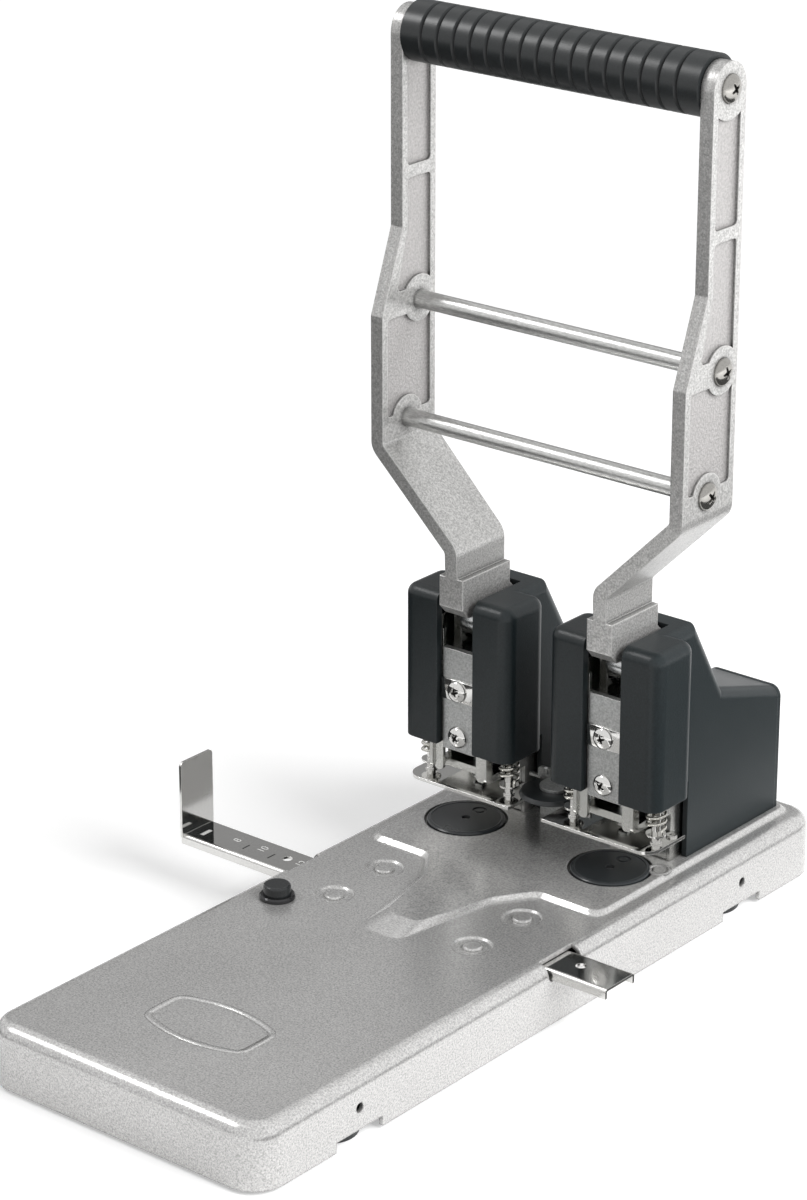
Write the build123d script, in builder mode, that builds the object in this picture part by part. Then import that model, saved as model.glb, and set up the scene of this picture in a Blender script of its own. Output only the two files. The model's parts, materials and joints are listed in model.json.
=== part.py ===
"""Heavy-duty two-hole punch with hollow pins and a long cast lever.

Millimetres, +Z up. The origin is the centre of the base's footprint, on the table.
X runs across the base, along the lever's hinge; +Y runs to the back, where the heads are.
"""
from build123d import *
from math import cos, hypot, pi, radians, sin, tan
import os

os.makedirs("parts", exist_ok=True)

# ------------------------------------------------------------------ driving dimensions
# base
BASE_WIDTH = 148.0
BASE_LENGTH = 381.0
BASE_CORNER = 14.0
BASE_EDGE = 6.0            # rounding of the shell's upper edge
RIM_LIFT = 1.5             # lower rim of the shell above the table
BASE_TOP = 29.5
SHEET = 2.0
PLATEAU_RISE = 2.0         # the T-shaped raised field on top
TONGUE_FRONT_Y = -15.5
TONGUE_RAMP = 15.5         # long slope at the tongue's front end
TONGUE_HALF_FRONT = 8.5
TONGUE_REAR_Y = 24.0
TONGUE_HALF_REAR = 18.5
SHOULDER_HALF = 30.0
PLATEAU_FRONT_Y = 40.5
PLATEAU_HALF = 62.0
PLATEAU_REAR_Y = 181.0
PLATEAU_SLOPE = 2.0        # run of its sloped border
PLATEAU_CORNER = 6.0
PAN_THICK = 2.0
PAN_RIM = 8.0
PAN_LIFT = 5.5             # underside of the pan above the table
PAD_WIDTH = 60.0           # rubber pad under the middle, which takes the blow
PAD_LENGTH = 140.0
PAD_CORNER = 10.0
FOOT_Y = 130.5             # feet, notches and wall holes
NOTCH_LENGTH = 28.0        # notches in the shell's lower edge, by the feet
NOTCH_HEIGHT = 4.5
WALL_HOLE_DIA = 4.4
WALL_HOLE_Z = 15.6
FOOT_X = 58.3
FOOT_DIA = 24.0
FOOT_ROUND = 1.5
STIFFENER = 3.5
STIFFENER_HALF = 64.0
STIFFENER_FRONT_Y = 56.0
STIFFENER_REAR_Y = 166.0
STIFFENER_CORNER = 4.0

# cutting discs and holes
HOLE_PITCH = 80.0          # standard spacing of filing holes
PAPER_MARGIN = 12.0        # standard distance of a filing hole from the paper's edge
DISC_Y = 78.5
DISC_DIA = 35.0
DISC_THICK = 2.4
DISC_PROUD = 0.5           # disc's face above the plateau
DISC_BORE = 4.1
DISC_BEVEL = 0.5
MARK_DEPTH = 0.4           # ring in the disc where the pin lands
MARK_CLEAR = 0.3
SPINDLE_DIA = 4.0
SPINDLE_SUNK = 1.0         # its end below the disc's face
SPINDLE_FLANGE = 1.5       # thickness of its foot under the stiffener
SPINDLE_RIM = 2.0
WELL_CLEAR = 1.25
PIN_OFFSET = 9.7           # the pin strikes the disc off its centre, so turning it gives a fresh place
SPARE_DIA = 28.4           # small disc clipped between the heads
SPARE_THICK = 2.0
SPARE_BEVEL = (1.4, 1.0)
SHELF_Z = 50.3
SHELF_SHEET = 1.4
SHELF_HALF = 17.0
SHELF_INSET = 3.0          # the round shelf's edge inside the small disc's
CLIP_NOSE = 7.0            # rounded nose of the clip over the small disc
CLIP_AHEAD = 3.0           # its centre behind the small disc's
CLIP_EDGE_Y = 95.8
HOOK_X = -9.8
HOOK_WIDTH = 4.7
HOOK_HEIGHT = 4.5
EDGE_STEP = 1.0            # the clip's upturned edge rises by this on its right
EDGE_GAP = (-3.0, 2.0)     # low stretch in the middle of that edge
BRACKET_FOOT = 12.0        # length of the bracket's foot on the base

# side stop and its lock
STRIP_Y = 2.0
STRIP_WIDTH = 20.0
STRIP_HEIGHT = 4.5
STRIP_SHEET = 1.2
STRIP_BEND = 1.6           # outer radius of the channel's bends
STRIP_LEFT_X = -133.0
STRIP_RIGHT_X = 102.0
TAB_HEIGHT = 35.0
TAB_OVERHANG = 0.6
TAB_CORNER = 2.0
STRIP_HOLE_DIA = 4.5
STRIP_HOLES_X = (-80.0, 81.2)
STRIP_HOLES_OFFSET = 1.0   # behind the strip's centre line
SLIDE_CLEAR = 0.3
RAIL_HALF = 45.0
RAIL_SHEET = 1.5
RAIL_LIP = 3.0
RIVET_X = 38.0
RIVET_Y = 16.9             # from the strip's centre line
RIVET_HEAD = 9.0
RIVET_SHANK = 4.0
RIVET_RISE = 1.2
RIVET_TAIL = 1.0           # riveted-over end below the rails
RIVET_FLARE = 1.5
DISH_DIA = 17.5            # embossed dish round each rivet
DISH_DEPTH = 0.8
CUTOUT_X = 68.5            # edge cut-outs for the strip
CUTOUT_CLEAR = 1.2
CUTOUT_CORNER = 2.5
BUTTON_X = -55.2
BUTTON_Y = -32.0
BUTTON_DIA = 12.0
BUTTON_TOP = 36.0
BUTTON_ROUND = 1.2
BUTTON_FLANGE = 1.5        # keeps the button under its collar
BUTTON_RIM = 0.9
COLLAR_DIA = 15.5
COLLAR_RISE = 2.0
COLLAR_WALL = 1.0
COLLAR_DEPTH = 4.0         # of its sleeve below the shell's sheet
COLLAR_BEVEL = 0.6
LATCH_PIVOT_Y = -50.0
LATCH_PIN_DIA = 4.0
LATCH_THICK = 2.5
LATCH_WIDTH = 10.0
LATCH_DROP = 3.5           # of its upper face below the strip
LATCH_TOOTH_HALF = 5.0
LATCH_PIN_END = 0.8
LATCH_WIRE = 0.8
LATCH_SPRING_RADIUS = 3.0
LATCH_SPRING_COILS = 3
BRACKET_WALL = 2.0
BRACKET_HALF = 5.0         # half-length of the latch's bracket
BRACKET_DROP = 4.0         # of its cheeks below the pin's axis

# heads
HEAD_HALF = 29.5           # half-width of the two front lobes
BODY_HALF = 19.4           # half-width of the head behind them
SLOT_HALF = 10.0
LOBE_FRONT_Y = 69.5
LOBE_REAR_Y = 97.0
LOBE_BOTTOM = 68.0
HEAD_TOP = 140.0
BODY_FRONT_Y = 108.0
RIDGE_Y = 112.0
SLOPE_FOOT_Y = 133.5
SLOPE_FOOT_Z = 103.0
COVER_REAR_Y = 175.5
COVER_REAR_Z = 90.0
COVER_WALL = 2.5
COVER_LAP = 12.0           # how far the body reaches forward into the lobes
COVER_BEVEL = 3.0          # in the cavity under the lobes' tops
COVER_STEP = 5.0           # the body's skirt overlaps its upper part by this
BODY_ROUND = 5.0           # rounding of the head's upper edges
LOBE_ROUND = 6.0           # rounding of the lobes' upright edges
SLOT_REAR_Y = 103.5
REAR_PLATE = 2.0
CHEEK_HALF = 16.0
FRAME_SHEET = 1.7
FRAME_FRONT_Y = 73.5
CHEEK_PROUD = 1.2          # the cheeks' front edges stand before the flanges
FRAME_BOTTOM = 54.0
FRAME_TOP = 126.0
FRAME_REAR_Y = 168.0
CHEEK_REAR_Z = 80.0
CHEEK_BEND = (136.0, 88.0) # foot of the cheeks' slope
CHEEK_RIDGE_Y = 113.0
CHEEK_TOE = 3.0            # rounding of the cheeks' lower front corner
FLANGE_TOE = 2.0
FLANGE_DROP = 4.0          # of the flanges' top below the cheeks'
FLANGE_INNER = 9.3
GUIDE_THICK = 3.5          # web that guides the pin
GUIDE_SHORT = 2.0          # of its rear edge before the paper stop
FLOOR_FRONT_Y = 103.5
BOLT_DIA = 6.0
BOLT_HEAD = 10.0
BOLT_HEAD_HEIGHT = 5.0
BOLT_END = 2.0             # below the stiffener
SOCKET_RADIUS = 2.5
SOCKET_DEPTH = 3.0
BOLTS_Y = (116.0, 154.0)
STOP_FOOT = 9.0            # the paper stop's foot behind the front bolt

# punch mechanism
PAPER_GAP = 15.8           # free height between the cutting disc and the stripper plate
SWING = 70.0               # lever swing, degrees
PUNCH_TRAVEL = 20.0
PIN_DIA = 6.0
PIN_BORE = 4.4
PIN_HEAD = 9.0
PIN_SEAT = 6.0             # of the pin's head below the block's top
PIN_SUNK = 1.0
PIN_BEVEL = 0.6
PRESS = 0.02               # close fit, radial
BLOCK_BOTTOM = 78.0
BLOCK_TOP = 112.0
BLOCK_REAR = 5.5           # behind the pin's axis
PLATE_BOTTOM = 66.0        # carrier front plate
PLATE_TOP = 114.0
PLATE_PROUD = 1.0          # its face before the flanges
PLATE_ROUND = 0.8
CARRIER_SCREWS_Z = (95.0, 73.0)
WASHER_HEIGHT = 10.0       # square washer under the upper screw
WASHER_THICK = 0.8
SCREW_HEAD = 10.0
SCREW_HEAD_HEIGHT = 2.6
SCREW_CROWN = 1.8
SCREW_SHANK = 4.0
SCREW_BORE = 5.0           # thread in the block for the upper screw
UPPER_REACH = 4.5
SCREW_REACH = 3.5          # lower screw's end behind the front plate
NUT_RADIUS = 4.0
NUT_THICK = 2.5
ROLLER_DIA = 15.0
ROLLER_WIDTH = 13.0
ROLLER_Z = 124.0
ROLLER_PIN_DIA = 5.0
ROLLER_BEVEL = 0.6
EAR_THICK = 4.0
EAR_HALF = 5.5
EAR_ROOT = 2.0             # of the ears in the block
LUG_HALF = 26.5
LUG_THICK = 4.0
LUG_DEPTH = 8.0
POST_X = 22.0
POST_Y = 81.0
POST_DIA = 4.0
STRIPPER_SHEET = 1.5
STRIPPER_INNER = 30.9      # reach of the plate from the pin towards the other head
STRIPPER_OUTER = 27.4
STRIPPER_FRONT_Y = 69.0
STRIPPER_REAR_Y = 95.0
STRIPPER_CORNER = 8.0      # rounding of the right plate's outer corner
RIVET_RING_X = 23.6
RIVET_RING_Y = 90.5
RING_RISE = 0.9
RING_RADIUS = 2.4
RING_BORE = 1.1
CLIP_RISE = 3.8            # spring clips of the posts above the plate
CLIP_THICK = 0.8
CLIP_RIM = 0.5             # beyond the spring's centre line
POST_HEAD = 2.0
POST_RIM = 1.5
POST_FLARE = 0.8
WIRE = 1.4                 # stripper spring wire
SPRING_RADIUS = 4.0
STRIPPER_COILS = 6
RETURN_WIRE = 1.6
RETURN_RADIUS = 4.6
RETURN_COILS = 8
RETURN_BORE_DEPTH = 20.0   # of the spring's bore in the block
RETURN_CLEAR = 0.4
PIVOT_Z = 94.0
PIVOT_DIA = 10.0
PIVOT_BOSS = 10.0          # radius of the lever's boss
PIVOT_HEAD = 0.6
PIVOT_RIM = 1.0
SPACER_WALL = 2.5

# lever
ARM_X = 79.5               # mid-plane of the upper arm
ARM_THICK = 6.6
ARM_KNEE_Z = 202.0
ARM_REAR_Y = 100.0
ARM_UPPER_WIDTH = 22.0
ARM_LOWER_WIDTH = 35.5
ARM_FOOT_WIDTH = 33.0
ARM_BEND = 9.0             # outer radius of its bends
ARM_TOP = 392.8
TAPER_TOP_Z = 298.0
TAPER_FOOT_Z = 261.0
CAM_WIDTH = 13.0
CAM_TOP_Z = 150.0
CAM_LAP = 8.0              # of the arm into the cam's boss
CAM_CLEAR = 0.15           # between cam and roller at rest
CAM_SPARE = 10             # degrees of cam beyond the swing
CAM_HEEL = ((9.0, 4.4), (20.0, 16.0), (12.0, 31.0))  # behind and above the pivot
CAM_CHIN = (4.0, 14.0)
GRIP_DIA = 26.5
GRIP_RIBS = 17
GRIP_GROOVE = 1.1
GROOVE_HALF = 1.0
GRIP_END = 2.0
GRIP_TUBE_DIA = 18.0
ROD_DIA = 8.0
ROD_UPPER = (89.5, 263.9)
ROD_LOWER = (81.3, 212.3)
ARM_SCREW_HEAD = 12.0
ARM_SCREW_RISE = 3.0
ARM_SCREW_CROWN = 2.0
ARM_SCREW_SHANK = 5.0
ARM_SCREW_REACH = 10.0     # into the rods and the grip's tube
ROD_BORE = 12.0
TUBE_BORE = 14.0
POCKET_DEPTH = 1.6
POCKET_MARGIN = 3.2
POCKET_ROUND = 2.0
POCKETS_Z = ((324.5, 375.0), (270.0, 319.0), (215.0, 259.0))
POCKET_STEP = (7.0, 297.0) # the middle pocket widens by this, down from this height
POCKET_CLEAR = (13.0, 11.0, 10.0, 10.0)  # radius left round the screws
FIT = 0.05                 # running fit, radial
GAP = 0.3                  # free clearance

# ------------------------------------------------------------------ derived places
PLATEAU_TOP = BASE_TOP + PLATEAU_RISE
SHEET_UNDER = BASE_TOP - SHEET
HALF_W = BASE_WIDTH / 2
HALF_L = BASE_LENGTH / 2
PIN_Y = DISC_Y + PIN_OFFSET
STOP_Y = PIN_Y + PAPER_MARGIN
SHELF_REAR_Y = PIN_Y + SPARE_DIA / 2 + GAP + SHELF_SHEET
DISC_TOP = PLATEAU_TOP + DISC_PROUD
WELL_FLOOR = DISC_TOP - DISC_THICK - 0.1
STRIPPER_BOTTOM = DISC_TOP + PAPER_GAP
STRIPPER_TOP = STRIPPER_BOTTOM + STRIPPER_SHEET
PIN_TIP = DISC_TOP + GAP + PUNCH_TRAVEL
# The lever's cam is an involute about the pivot, so that the roller sinks in proportion to the swing.
CAM_BASE = PUNCH_TRAVEL / radians(SWING)
PIVOT_Y = PIN_Y + CAM_BASE
GRIP_Y = ARM_REAR_Y - ARM_UPPER_WIDTH / 2
GRIP_Z = ARM_TOP - ARM_UPPER_WIDTH / 2
ARM_INNER = ARM_X - ARM_THICK / 2
ARM_OUTER = ARM_X + ARM_THICK / 2
HEADS = {"left": -HOLE_PITCH / 2, "right": HOLE_PITCH / 2}


def save(part, name):
    """Give the finished piece its name and write it out."""
    part.label = name
    export_step(part, f"parts/{name}.step")


def outline(points, radius=0.0, rounds=()):
    """Closed straight-sided face in the current sketch.

    All its corners get one radius, or the corners nearest to given points get their own.
    """
    face = make_face(Wire.make_polygon([(u, v, 0) for u, v in points]).edges())
    if radius:
        fillet(face.vertices(), radius)
    for own, places in rounds:
        picked = [min(face.vertices(), key=lambda c: hypot(c.X - u, c.Y - v)) for u, v in places]
        face = fillet(picked, own)


def mirrored(points):
    """Right-hand half of a symmetric outline, completed across the Y axis."""
    return points + [(-x, y) for x, y in reversed(points)]


def box(x0, x1, y0, y1, z0, z1, mode=Mode.ADD):
    """Block between two corners."""
    with Locations(((x0 + x1) / 2, (y0 + y1) / 2, (z0 + z1) / 2)):
        Box(x1 - x0, y1 - y0, z1 - z0, mode=mode)


def rod_z(x, y, z0, z1, radius, mode=Mode.ADD):
    """Upright round bar or hole."""
    with Locations((x, y, (z0 + z1) / 2)):
        Cylinder(radius, z1 - z0, mode=mode)


def rod_x(y, z, x0, x1, radius, mode=Mode.ADD):
    """Round bar or hole along X."""
    with Locations(((x0 + x1) / 2, y, z)):
        Cylinder(radius, x1 - x0, rotation=(0, 90, 0), mode=mode)


def rod_y(x, z, y0, y1, radius, mode=Mode.ADD):
    """Round bar or hole along Y."""
    with Locations((x, (y0 + y1) / 2, z)):
        Cylinder(radius, y1 - y0, rotation=(90, 0, 0), mode=mode)


def side_profile(x0, x1, points, radius=0.0, mode=Mode.ADD, rounds=(), bites=()):
    """Outline in the Y-Z plane, less the circles (y, z, radius) in bites, extruded along X."""
    with BuildSketch(Plane.YZ.offset(x0), mode=Mode.PRIVATE) as view:
        outline(points, radius, rounds)
        for y, z, bite in bites:
            with Locations((y, z)):
                Circle(bite, mode=Mode.SUBTRACT)
    extrude(view.sketch, amount=x1 - x0, mode=mode)


def coil(x, y, z0, z1, radius, wire, turns):
    """Centre line of a round-wire compression spring from z0 to z1.

    Each half turn is a half circle tilted by its climb, so the next one leaves it in line. Both
    ends bend up through a quarter circle and run straight for one wire diameter on to their seats.
    """
    side_x = x + radius
    foot = z0 + wire
    low = foot + wire
    rise = (z1 - z0 - 4 * wire) / (2 * turns)
    bend = wire * (1 - cos(radians(45)))
    edges = [
        Edge.make_line((side_x, y - wire, z0), (side_x, y - wire, foot)),
        Edge.make_three_point_arc((side_x, y - wire, foot), (side_x, y - wire + bend, low - bend),
                                  (side_x, y, low)),
    ]
    for step in range(2 * turns):
        side = 1 if step % 2 == 0 else -1
        z = low + step * rise
        edges.append(Edge.make_three_point_arc(
            (x + side * radius, y, z),
            (x, y + side * hypot(radius, rise / 2), z + rise / 2),
            (x - side * radius, y, z + rise)))
    high = z1 - 2 * wire
    edges.append(Edge.make_three_point_arc((side_x, y, high), (side_x, y + wire - bend, high + bend),
                                           (side_x, y + wire, high + wire)))
    edges.append(Edge.make_line((side_x, y + wire, high + wire), (side_x, y + wire, z1)))
    return Wire(edges)


def least_gap(path, radius, wire):
    """Smallest free distance between a coil's turns, from points along its centre line."""
    count = int(2 * path.length / wire)
    half_turn = int(pi * radius * count / path.length)
    points = [path.position_at(i / count) for i in range(count + 1)]
    return min((a - b).length for n, a in enumerate(points) for b in points[n + half_turn:]) - wire


# ------------------------------------------------------------------ base shell
def plateau_points(grow, ramp):
    """Border of the raised field, at its top (0, 0) or at the foot of its slopes."""
    return mirrored([
        (TONGUE_HALF_FRONT + grow, TONGUE_FRONT_Y - ramp),
        (TONGUE_HALF_REAR + grow, TONGUE_REAR_Y),
        (SHOULDER_HALF + grow / 2, PLATEAU_FRONT_Y - grow),
        (PLATEAU_HALF + grow, PLATEAU_FRONT_Y - grow),
        (PLATEAU_HALF + grow, PLATEAU_REAR_Y + grow),
    ])


cutout_half = STRIP_WIDTH / 2 + CUTOUT_CLEAR
well_radius = DISC_DIA / 2 + WELL_CLEAR
disc_places = [(x, DISC_Y) for x in HEADS.values()]
rivet_places = [(x, STRIP_Y + y) for x in (-RIVET_X, RIVET_X) for y in (-RIVET_Y, RIVET_Y)]
bolt_places = [(x, y) for x in HEADS.values() for y in BOLTS_Y]

with BuildPart() as shell_cavity:
    with BuildSketch(Plane.XY.offset(RIM_LIFT)):
        RectangleRounded(BASE_WIDTH - 2 * SHEET, BASE_LENGTH - 2 * SHEET, BASE_CORNER - SHEET)
    extrude(amount=SHEET_UNDER - RIM_LIFT)
    fillet(shell_cavity.edges().group_by(Axis.Z)[-1], BASE_EDGE - SHEET)

with BuildPart() as base_shell:
    with BuildSketch(Plane.XY.offset(RIM_LIFT)):
        RectangleRounded(BASE_WIDTH, BASE_LENGTH, BASE_CORNER)
    extrude(amount=BASE_TOP - RIM_LIFT)
    fillet(base_shell.edges().group_by(Axis.Z)[-1], BASE_EDGE)
    add(shell_cavity.part, mode=Mode.SUBTRACT)
    with BuildSketch(Plane.XY.offset(BASE_TOP)):
        outline(plateau_points(PLATEAU_SLOPE, TONGUE_RAMP), PLATEAU_CORNER)
    with BuildSketch(Plane.XY.offset(PLATEAU_TOP)):
        outline(plateau_points(0, 0), PLATEAU_CORNER)
    loft(ruled=True)
    # wells of the cutting discs
    with BuildSketch(Plane.XY.offset(WELL_FLOOR)):
        with Locations(*disc_places):
            Circle(well_radius)
    extrude(amount=BASE_TOP, mode=Mode.SUBTRACT)
    # dishes pressed round the rivets of the guide rails
    with BuildSketch(Plane.XY.offset(BASE_TOP)):
        with Locations(*rivet_places):
            Circle(DISH_DIA / 2)
    extrude(amount=-DISH_DEPTH, taper=45, mode=Mode.SUBTRACT)
    for places, radius in (
        (rivet_places, RIVET_SHANK / 2 + FIT),
        (disc_places, SPINDLE_DIA / 2 + FIT),
        (bolt_places, BOLT_DIA / 2 + FIT),
        ([(BUTTON_X, BUTTON_Y)], BUTTON_DIA / 2 + COLLAR_WALL + FIT),
    ):
        with BuildSketch(Plane.XY.offset(RIM_LIFT)):
            with Locations(*places):
                Circle(radius)
        extrude(amount=HEAD_TOP, mode=Mode.SUBTRACT)
    # edge cut-outs where the side stop runs through
    for side in (-1, 1):
        x0, x1 = sorted((side * CUTOUT_X, side * (HALF_W + 1)))
        low = SHEET_UNDER - STRIP_HEIGHT - SLIDE_CLEAR - 1
        window = [(STRIP_Y - cutout_half, low), (STRIP_Y + cutout_half, low),
                  (STRIP_Y + cutout_half, BASE_TOP + 1), (STRIP_Y - cutout_half, BASE_TOP + 1)]
        side_profile(x0, x1, window, mode=Mode.SUBTRACT, rounds=[(CUTOUT_CORNER, window[:2])])
    # notches in the lower edge and round holes in the side walls, by the feet
    for y in (-FOOT_Y, FOOT_Y):
        box(-HALF_W - 1, HALF_W + 1, y - NOTCH_LENGTH / 2, y + NOTCH_LENGTH / 2,
            RIM_LIFT - 1, RIM_LIFT + NOTCH_HEIGHT, Mode.SUBTRACT)
        rod_x(y, WALL_HOLE_Z, -HALF_W - 1, HALF_W + 1, WALL_HOLE_DIA / 2, Mode.SUBTRACT)
save(base_shell.part, "base_shell")

# ------------------------------------------------------------------ base pan, its feet and pad
pan_half_w = HALF_W - SHEET - GAP
pan_half_l = HALF_L - SHEET - GAP
pan_top = PAN_LIFT + PAN_THICK
with BuildPart() as base_pan:
    with BuildSketch(Plane.XY.offset(PAN_LIFT)):
        RectangleRounded(2 * pan_half_w, 2 * pan_half_l, BASE_CORNER - SHEET - GAP)
    extrude(amount=PAN_RIM)
    with BuildSketch(Plane.XY.offset(pan_top)):
        RectangleRounded(2 * (pan_half_w - PAN_THICK), 2 * (pan_half_l - PAN_THICK),
                         BASE_CORNER - SHEET - GAP - PAN_THICK)
    extrude(amount=PAN_RIM, mode=Mode.SUBTRACT)
save(base_pan.part, "base_pan")

with BuildPart() as rubber_feet:
    for x in (-FOOT_X, FOOT_X):
        for y in (-FOOT_Y, FOOT_Y):
            rod_z(x, y, 0, PAN_LIFT, FOOT_DIA / 2)
    fillet(rubber_feet.edges().group_by(Axis.Z)[0], FOOT_ROUND)
save(rubber_feet.part, "rubber_feet")

with BuildPart() as rubber_mat:
    with BuildSketch():
        RectangleRounded(PAD_WIDTH, PAD_LENGTH, PAD_CORNER)
    extrude(amount=PAN_LIFT)
save(rubber_mat.part, "rubber_mat")

# ------------------------------------------------------------------ stiffener, spindles, discs
stiffener_low = SHEET_UNDER - STIFFENER
with BuildPart() as stiffener_plate:
    box(-STIFFENER_HALF, STIFFENER_HALF, STIFFENER_FRONT_Y, STIFFENER_REAR_Y, stiffener_low, SHEET_UNDER)
    fillet(stiffener_plate.edges().filter_by(Axis.Z), STIFFENER_CORNER)
    for places, radius in ((disc_places, SPINDLE_DIA / 2), (bolt_places, BOLT_DIA / 2)):
        with BuildSketch(Plane.XY.offset(stiffener_low)):
            with Locations(*places):
                Circle(radius + FIT)
        extrude(amount=STIFFENER, mode=Mode.SUBTRACT)
save(stiffener_plate.part, "stiffener_plate")

with BuildPart() as disc_spindles:
    for x, y in disc_places:
        rod_z(x, y, stiffener_low - SPINDLE_FLANGE, DISC_TOP - SPINDLE_SUNK, SPINDLE_DIA / 2)
        rod_z(x, y, stiffener_low - SPINDLE_FLANGE, stiffener_low, SPINDLE_DIA / 2 + SPINDLE_RIM)
save(disc_spindles.part, "disc_spindles")


def cutting_disc(x, y, low):
    """Plastic disc that takes the pin's blow, with a mark where the pin lands."""
    with BuildPart() as disc:
        rod_z(x, y, low, low + DISC_THICK, DISC_DIA / 2)
        chamfer(disc.edges().group_by(Axis.Z)[-1], DISC_BEVEL)
        rod_z(x, y, low, low + DISC_THICK, DISC_BORE / 2, Mode.SUBTRACT)
        with BuildSketch(Plane.XY.offset(low + DISC_THICK)):
            with Locations((x, y + PIN_OFFSET)):
                Circle(PIN_DIA / 2 + MARK_CLEAR)
                Circle(PIN_BORE / 2 - MARK_CLEAR, mode=Mode.SUBTRACT)
        extrude(amount=-MARK_DEPTH, mode=Mode.SUBTRACT)
    return disc.part


for side, x in HEADS.items():
    save(cutting_disc(x, DISC_Y, DISC_TOP - DISC_THICK), f"cutting_disc_{side}")

shelf_top = SHELF_Z + SHELF_SHEET
clip_low = shelf_top + SPARE_THICK
clip_top = clip_low + SHELF_SHEET
with BuildPart() as spare_disc:
    rod_z(0, PIN_Y, shelf_top, clip_low, SPARE_DIA / 2)
    chamfer(spare_disc.edges().group_by(Axis.Z)[-1], *SPARE_BEVEL)
save(spare_disc.part, "spare_disc")

with BuildPart() as disc_holder:
    nose_y = PIN_Y + CLIP_AHEAD
    rod_z(0, PIN_Y, SHELF_Z, shelf_top, SPARE_DIA / 2 - SHELF_INSET)
    rod_z(0, nose_y, clip_low, clip_top, CLIP_NOSE)
    box(-CLIP_NOSE, CLIP_NOSE, nose_y, SHELF_REAR_Y, clip_low, clip_top)
    box(-CLIP_NOSE, CLIP_NOSE, nose_y, SHELF_REAR_Y, SHELF_Z, shelf_top)
    # upturned edge of the clip with its hook
    edge_front = CLIP_EDGE_Y - SHELF_SHEET
    gap_left, gap_right = EDGE_GAP
    edge_top = clip_top + EDGE_STEP
    hook_left, hook_right = HOOK_X - HOOK_WIDTH / 2, HOOK_X + HOOK_WIDTH / 2
    hook_top = clip_top + HOOK_HEIGHT
    with BuildSketch(Plane.XZ.offset(-edge_front)):
        outline([(-SHELF_HALF, clip_low), (SHELF_HALF, clip_low), (SHELF_HALF, edge_top),
                 (gap_right, edge_top), (gap_right, clip_top), (gap_left, clip_top), (gap_left, edge_top),
                 (hook_right, edge_top), (hook_right, hook_top), (hook_left, hook_top),
                 (hook_left, clip_top), (-SHELF_HALF, clip_top)],
                rounds=[(HOOK_WIDTH / 3, [(hook_right, hook_top), (hook_left, hook_top)])])
    extrude(amount=-SHELF_SHEET)
    # bracket down to the base, behind the paper's edge
    box(-SHELF_HALF, SHELF_HALF, SHELF_REAR_Y - SHELF_SHEET, SHELF_REAR_Y, PLATEAU_TOP, clip_top)
    box(-SHELF_HALF, SHELF_HALF, SHELF_REAR_Y, SHELF_REAR_Y + BRACKET_FOOT, PLATEAU_TOP,
        PLATEAU_TOP + SHELF_SHEET)
save(disc_holder.part, "disc_holder")

# ------------------------------------------------------------------ side stop and its guide rails
strip_top = SHEET_UNDER - GAP
strip_low = strip_top - STRIP_HEIGHT
strip_front = STRIP_Y - STRIP_WIDTH / 2
strip_rear = STRIP_Y + STRIP_WIDTH / 2
strip_section = [(strip_front, strip_low), (strip_rear, strip_low), (strip_rear, strip_top),
                 (strip_front, strip_top)]
hollow_top = strip_top - STRIP_SHEET
hollow_section = [(strip_front + STRIP_SHEET, strip_low), (strip_rear - STRIP_SHEET, strip_low),
                  (strip_rear - STRIP_SHEET, hollow_top), (strip_front + STRIP_SHEET, hollow_top)]
with BuildPart() as side_stop:
    side_profile(STRIP_LEFT_X, STRIP_RIGHT_X, strip_section, rounds=[(STRIP_BEND, strip_section[2:])])
    side_profile(STRIP_LEFT_X, STRIP_RIGHT_X, hollow_section, mode=Mode.SUBTRACT,
                 rounds=[(STRIP_BEND - STRIP_SHEET, hollow_section[2:])])
    box(STRIP_LEFT_X, STRIP_LEFT_X + STRIP_SHEET, strip_front - TAB_OVERHANG, strip_rear,
        hollow_top, strip_top + TAB_HEIGHT)
    tab_corners = side_stop.edges().filter_by(Axis.X).group_by(Axis.Z)[-1]
    fillet(tab_corners, TAB_CORNER)
    for x in STRIP_HOLES_X:
        rod_z(x, STRIP_Y + STRIP_HOLES_OFFSET, strip_low, strip_top, STRIP_HOLE_DIA / 2, Mode.SUBTRACT)
save(side_stop.part, "side_stop")

rail_in = STRIP_WIDTH / 2 + GAP
rail_low = strip_low - GAP - RAIL_SHEET
with BuildPart() as guide_rails:
    for side in (-1, 1):
        web = sorted((STRIP_Y + side * rail_in, STRIP_Y + side * (rail_in + RAIL_SHEET)))
        lip = sorted((STRIP_Y + side * (rail_in - RAIL_LIP), STRIP_Y + side * (rail_in + RAIL_SHEET)))
        wing = sorted((STRIP_Y + side * rail_in, STRIP_Y + side * (RIVET_Y + RIVET_HEAD / 2)))
        box(-RAIL_HALF, RAIL_HALF, *web, rail_low, SHEET_UNDER)
        box(-RAIL_HALF, RAIL_HALF, *lip, rail_low, rail_low + RAIL_SHEET)
        box(-RAIL_HALF, RAIL_HALF, *wing, SHEET_UNDER - RAIL_SHEET, SHEET_UNDER)
    with BuildSketch(Plane.XY.offset(rail_low)):
        with Locations(*rivet_places):
            Circle(RIVET_SHANK / 2 + FIT)
    extrude(amount=SHEET_UNDER - rail_low, mode=Mode.SUBTRACT)
save(guide_rails.part, "guide_rails")

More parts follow.
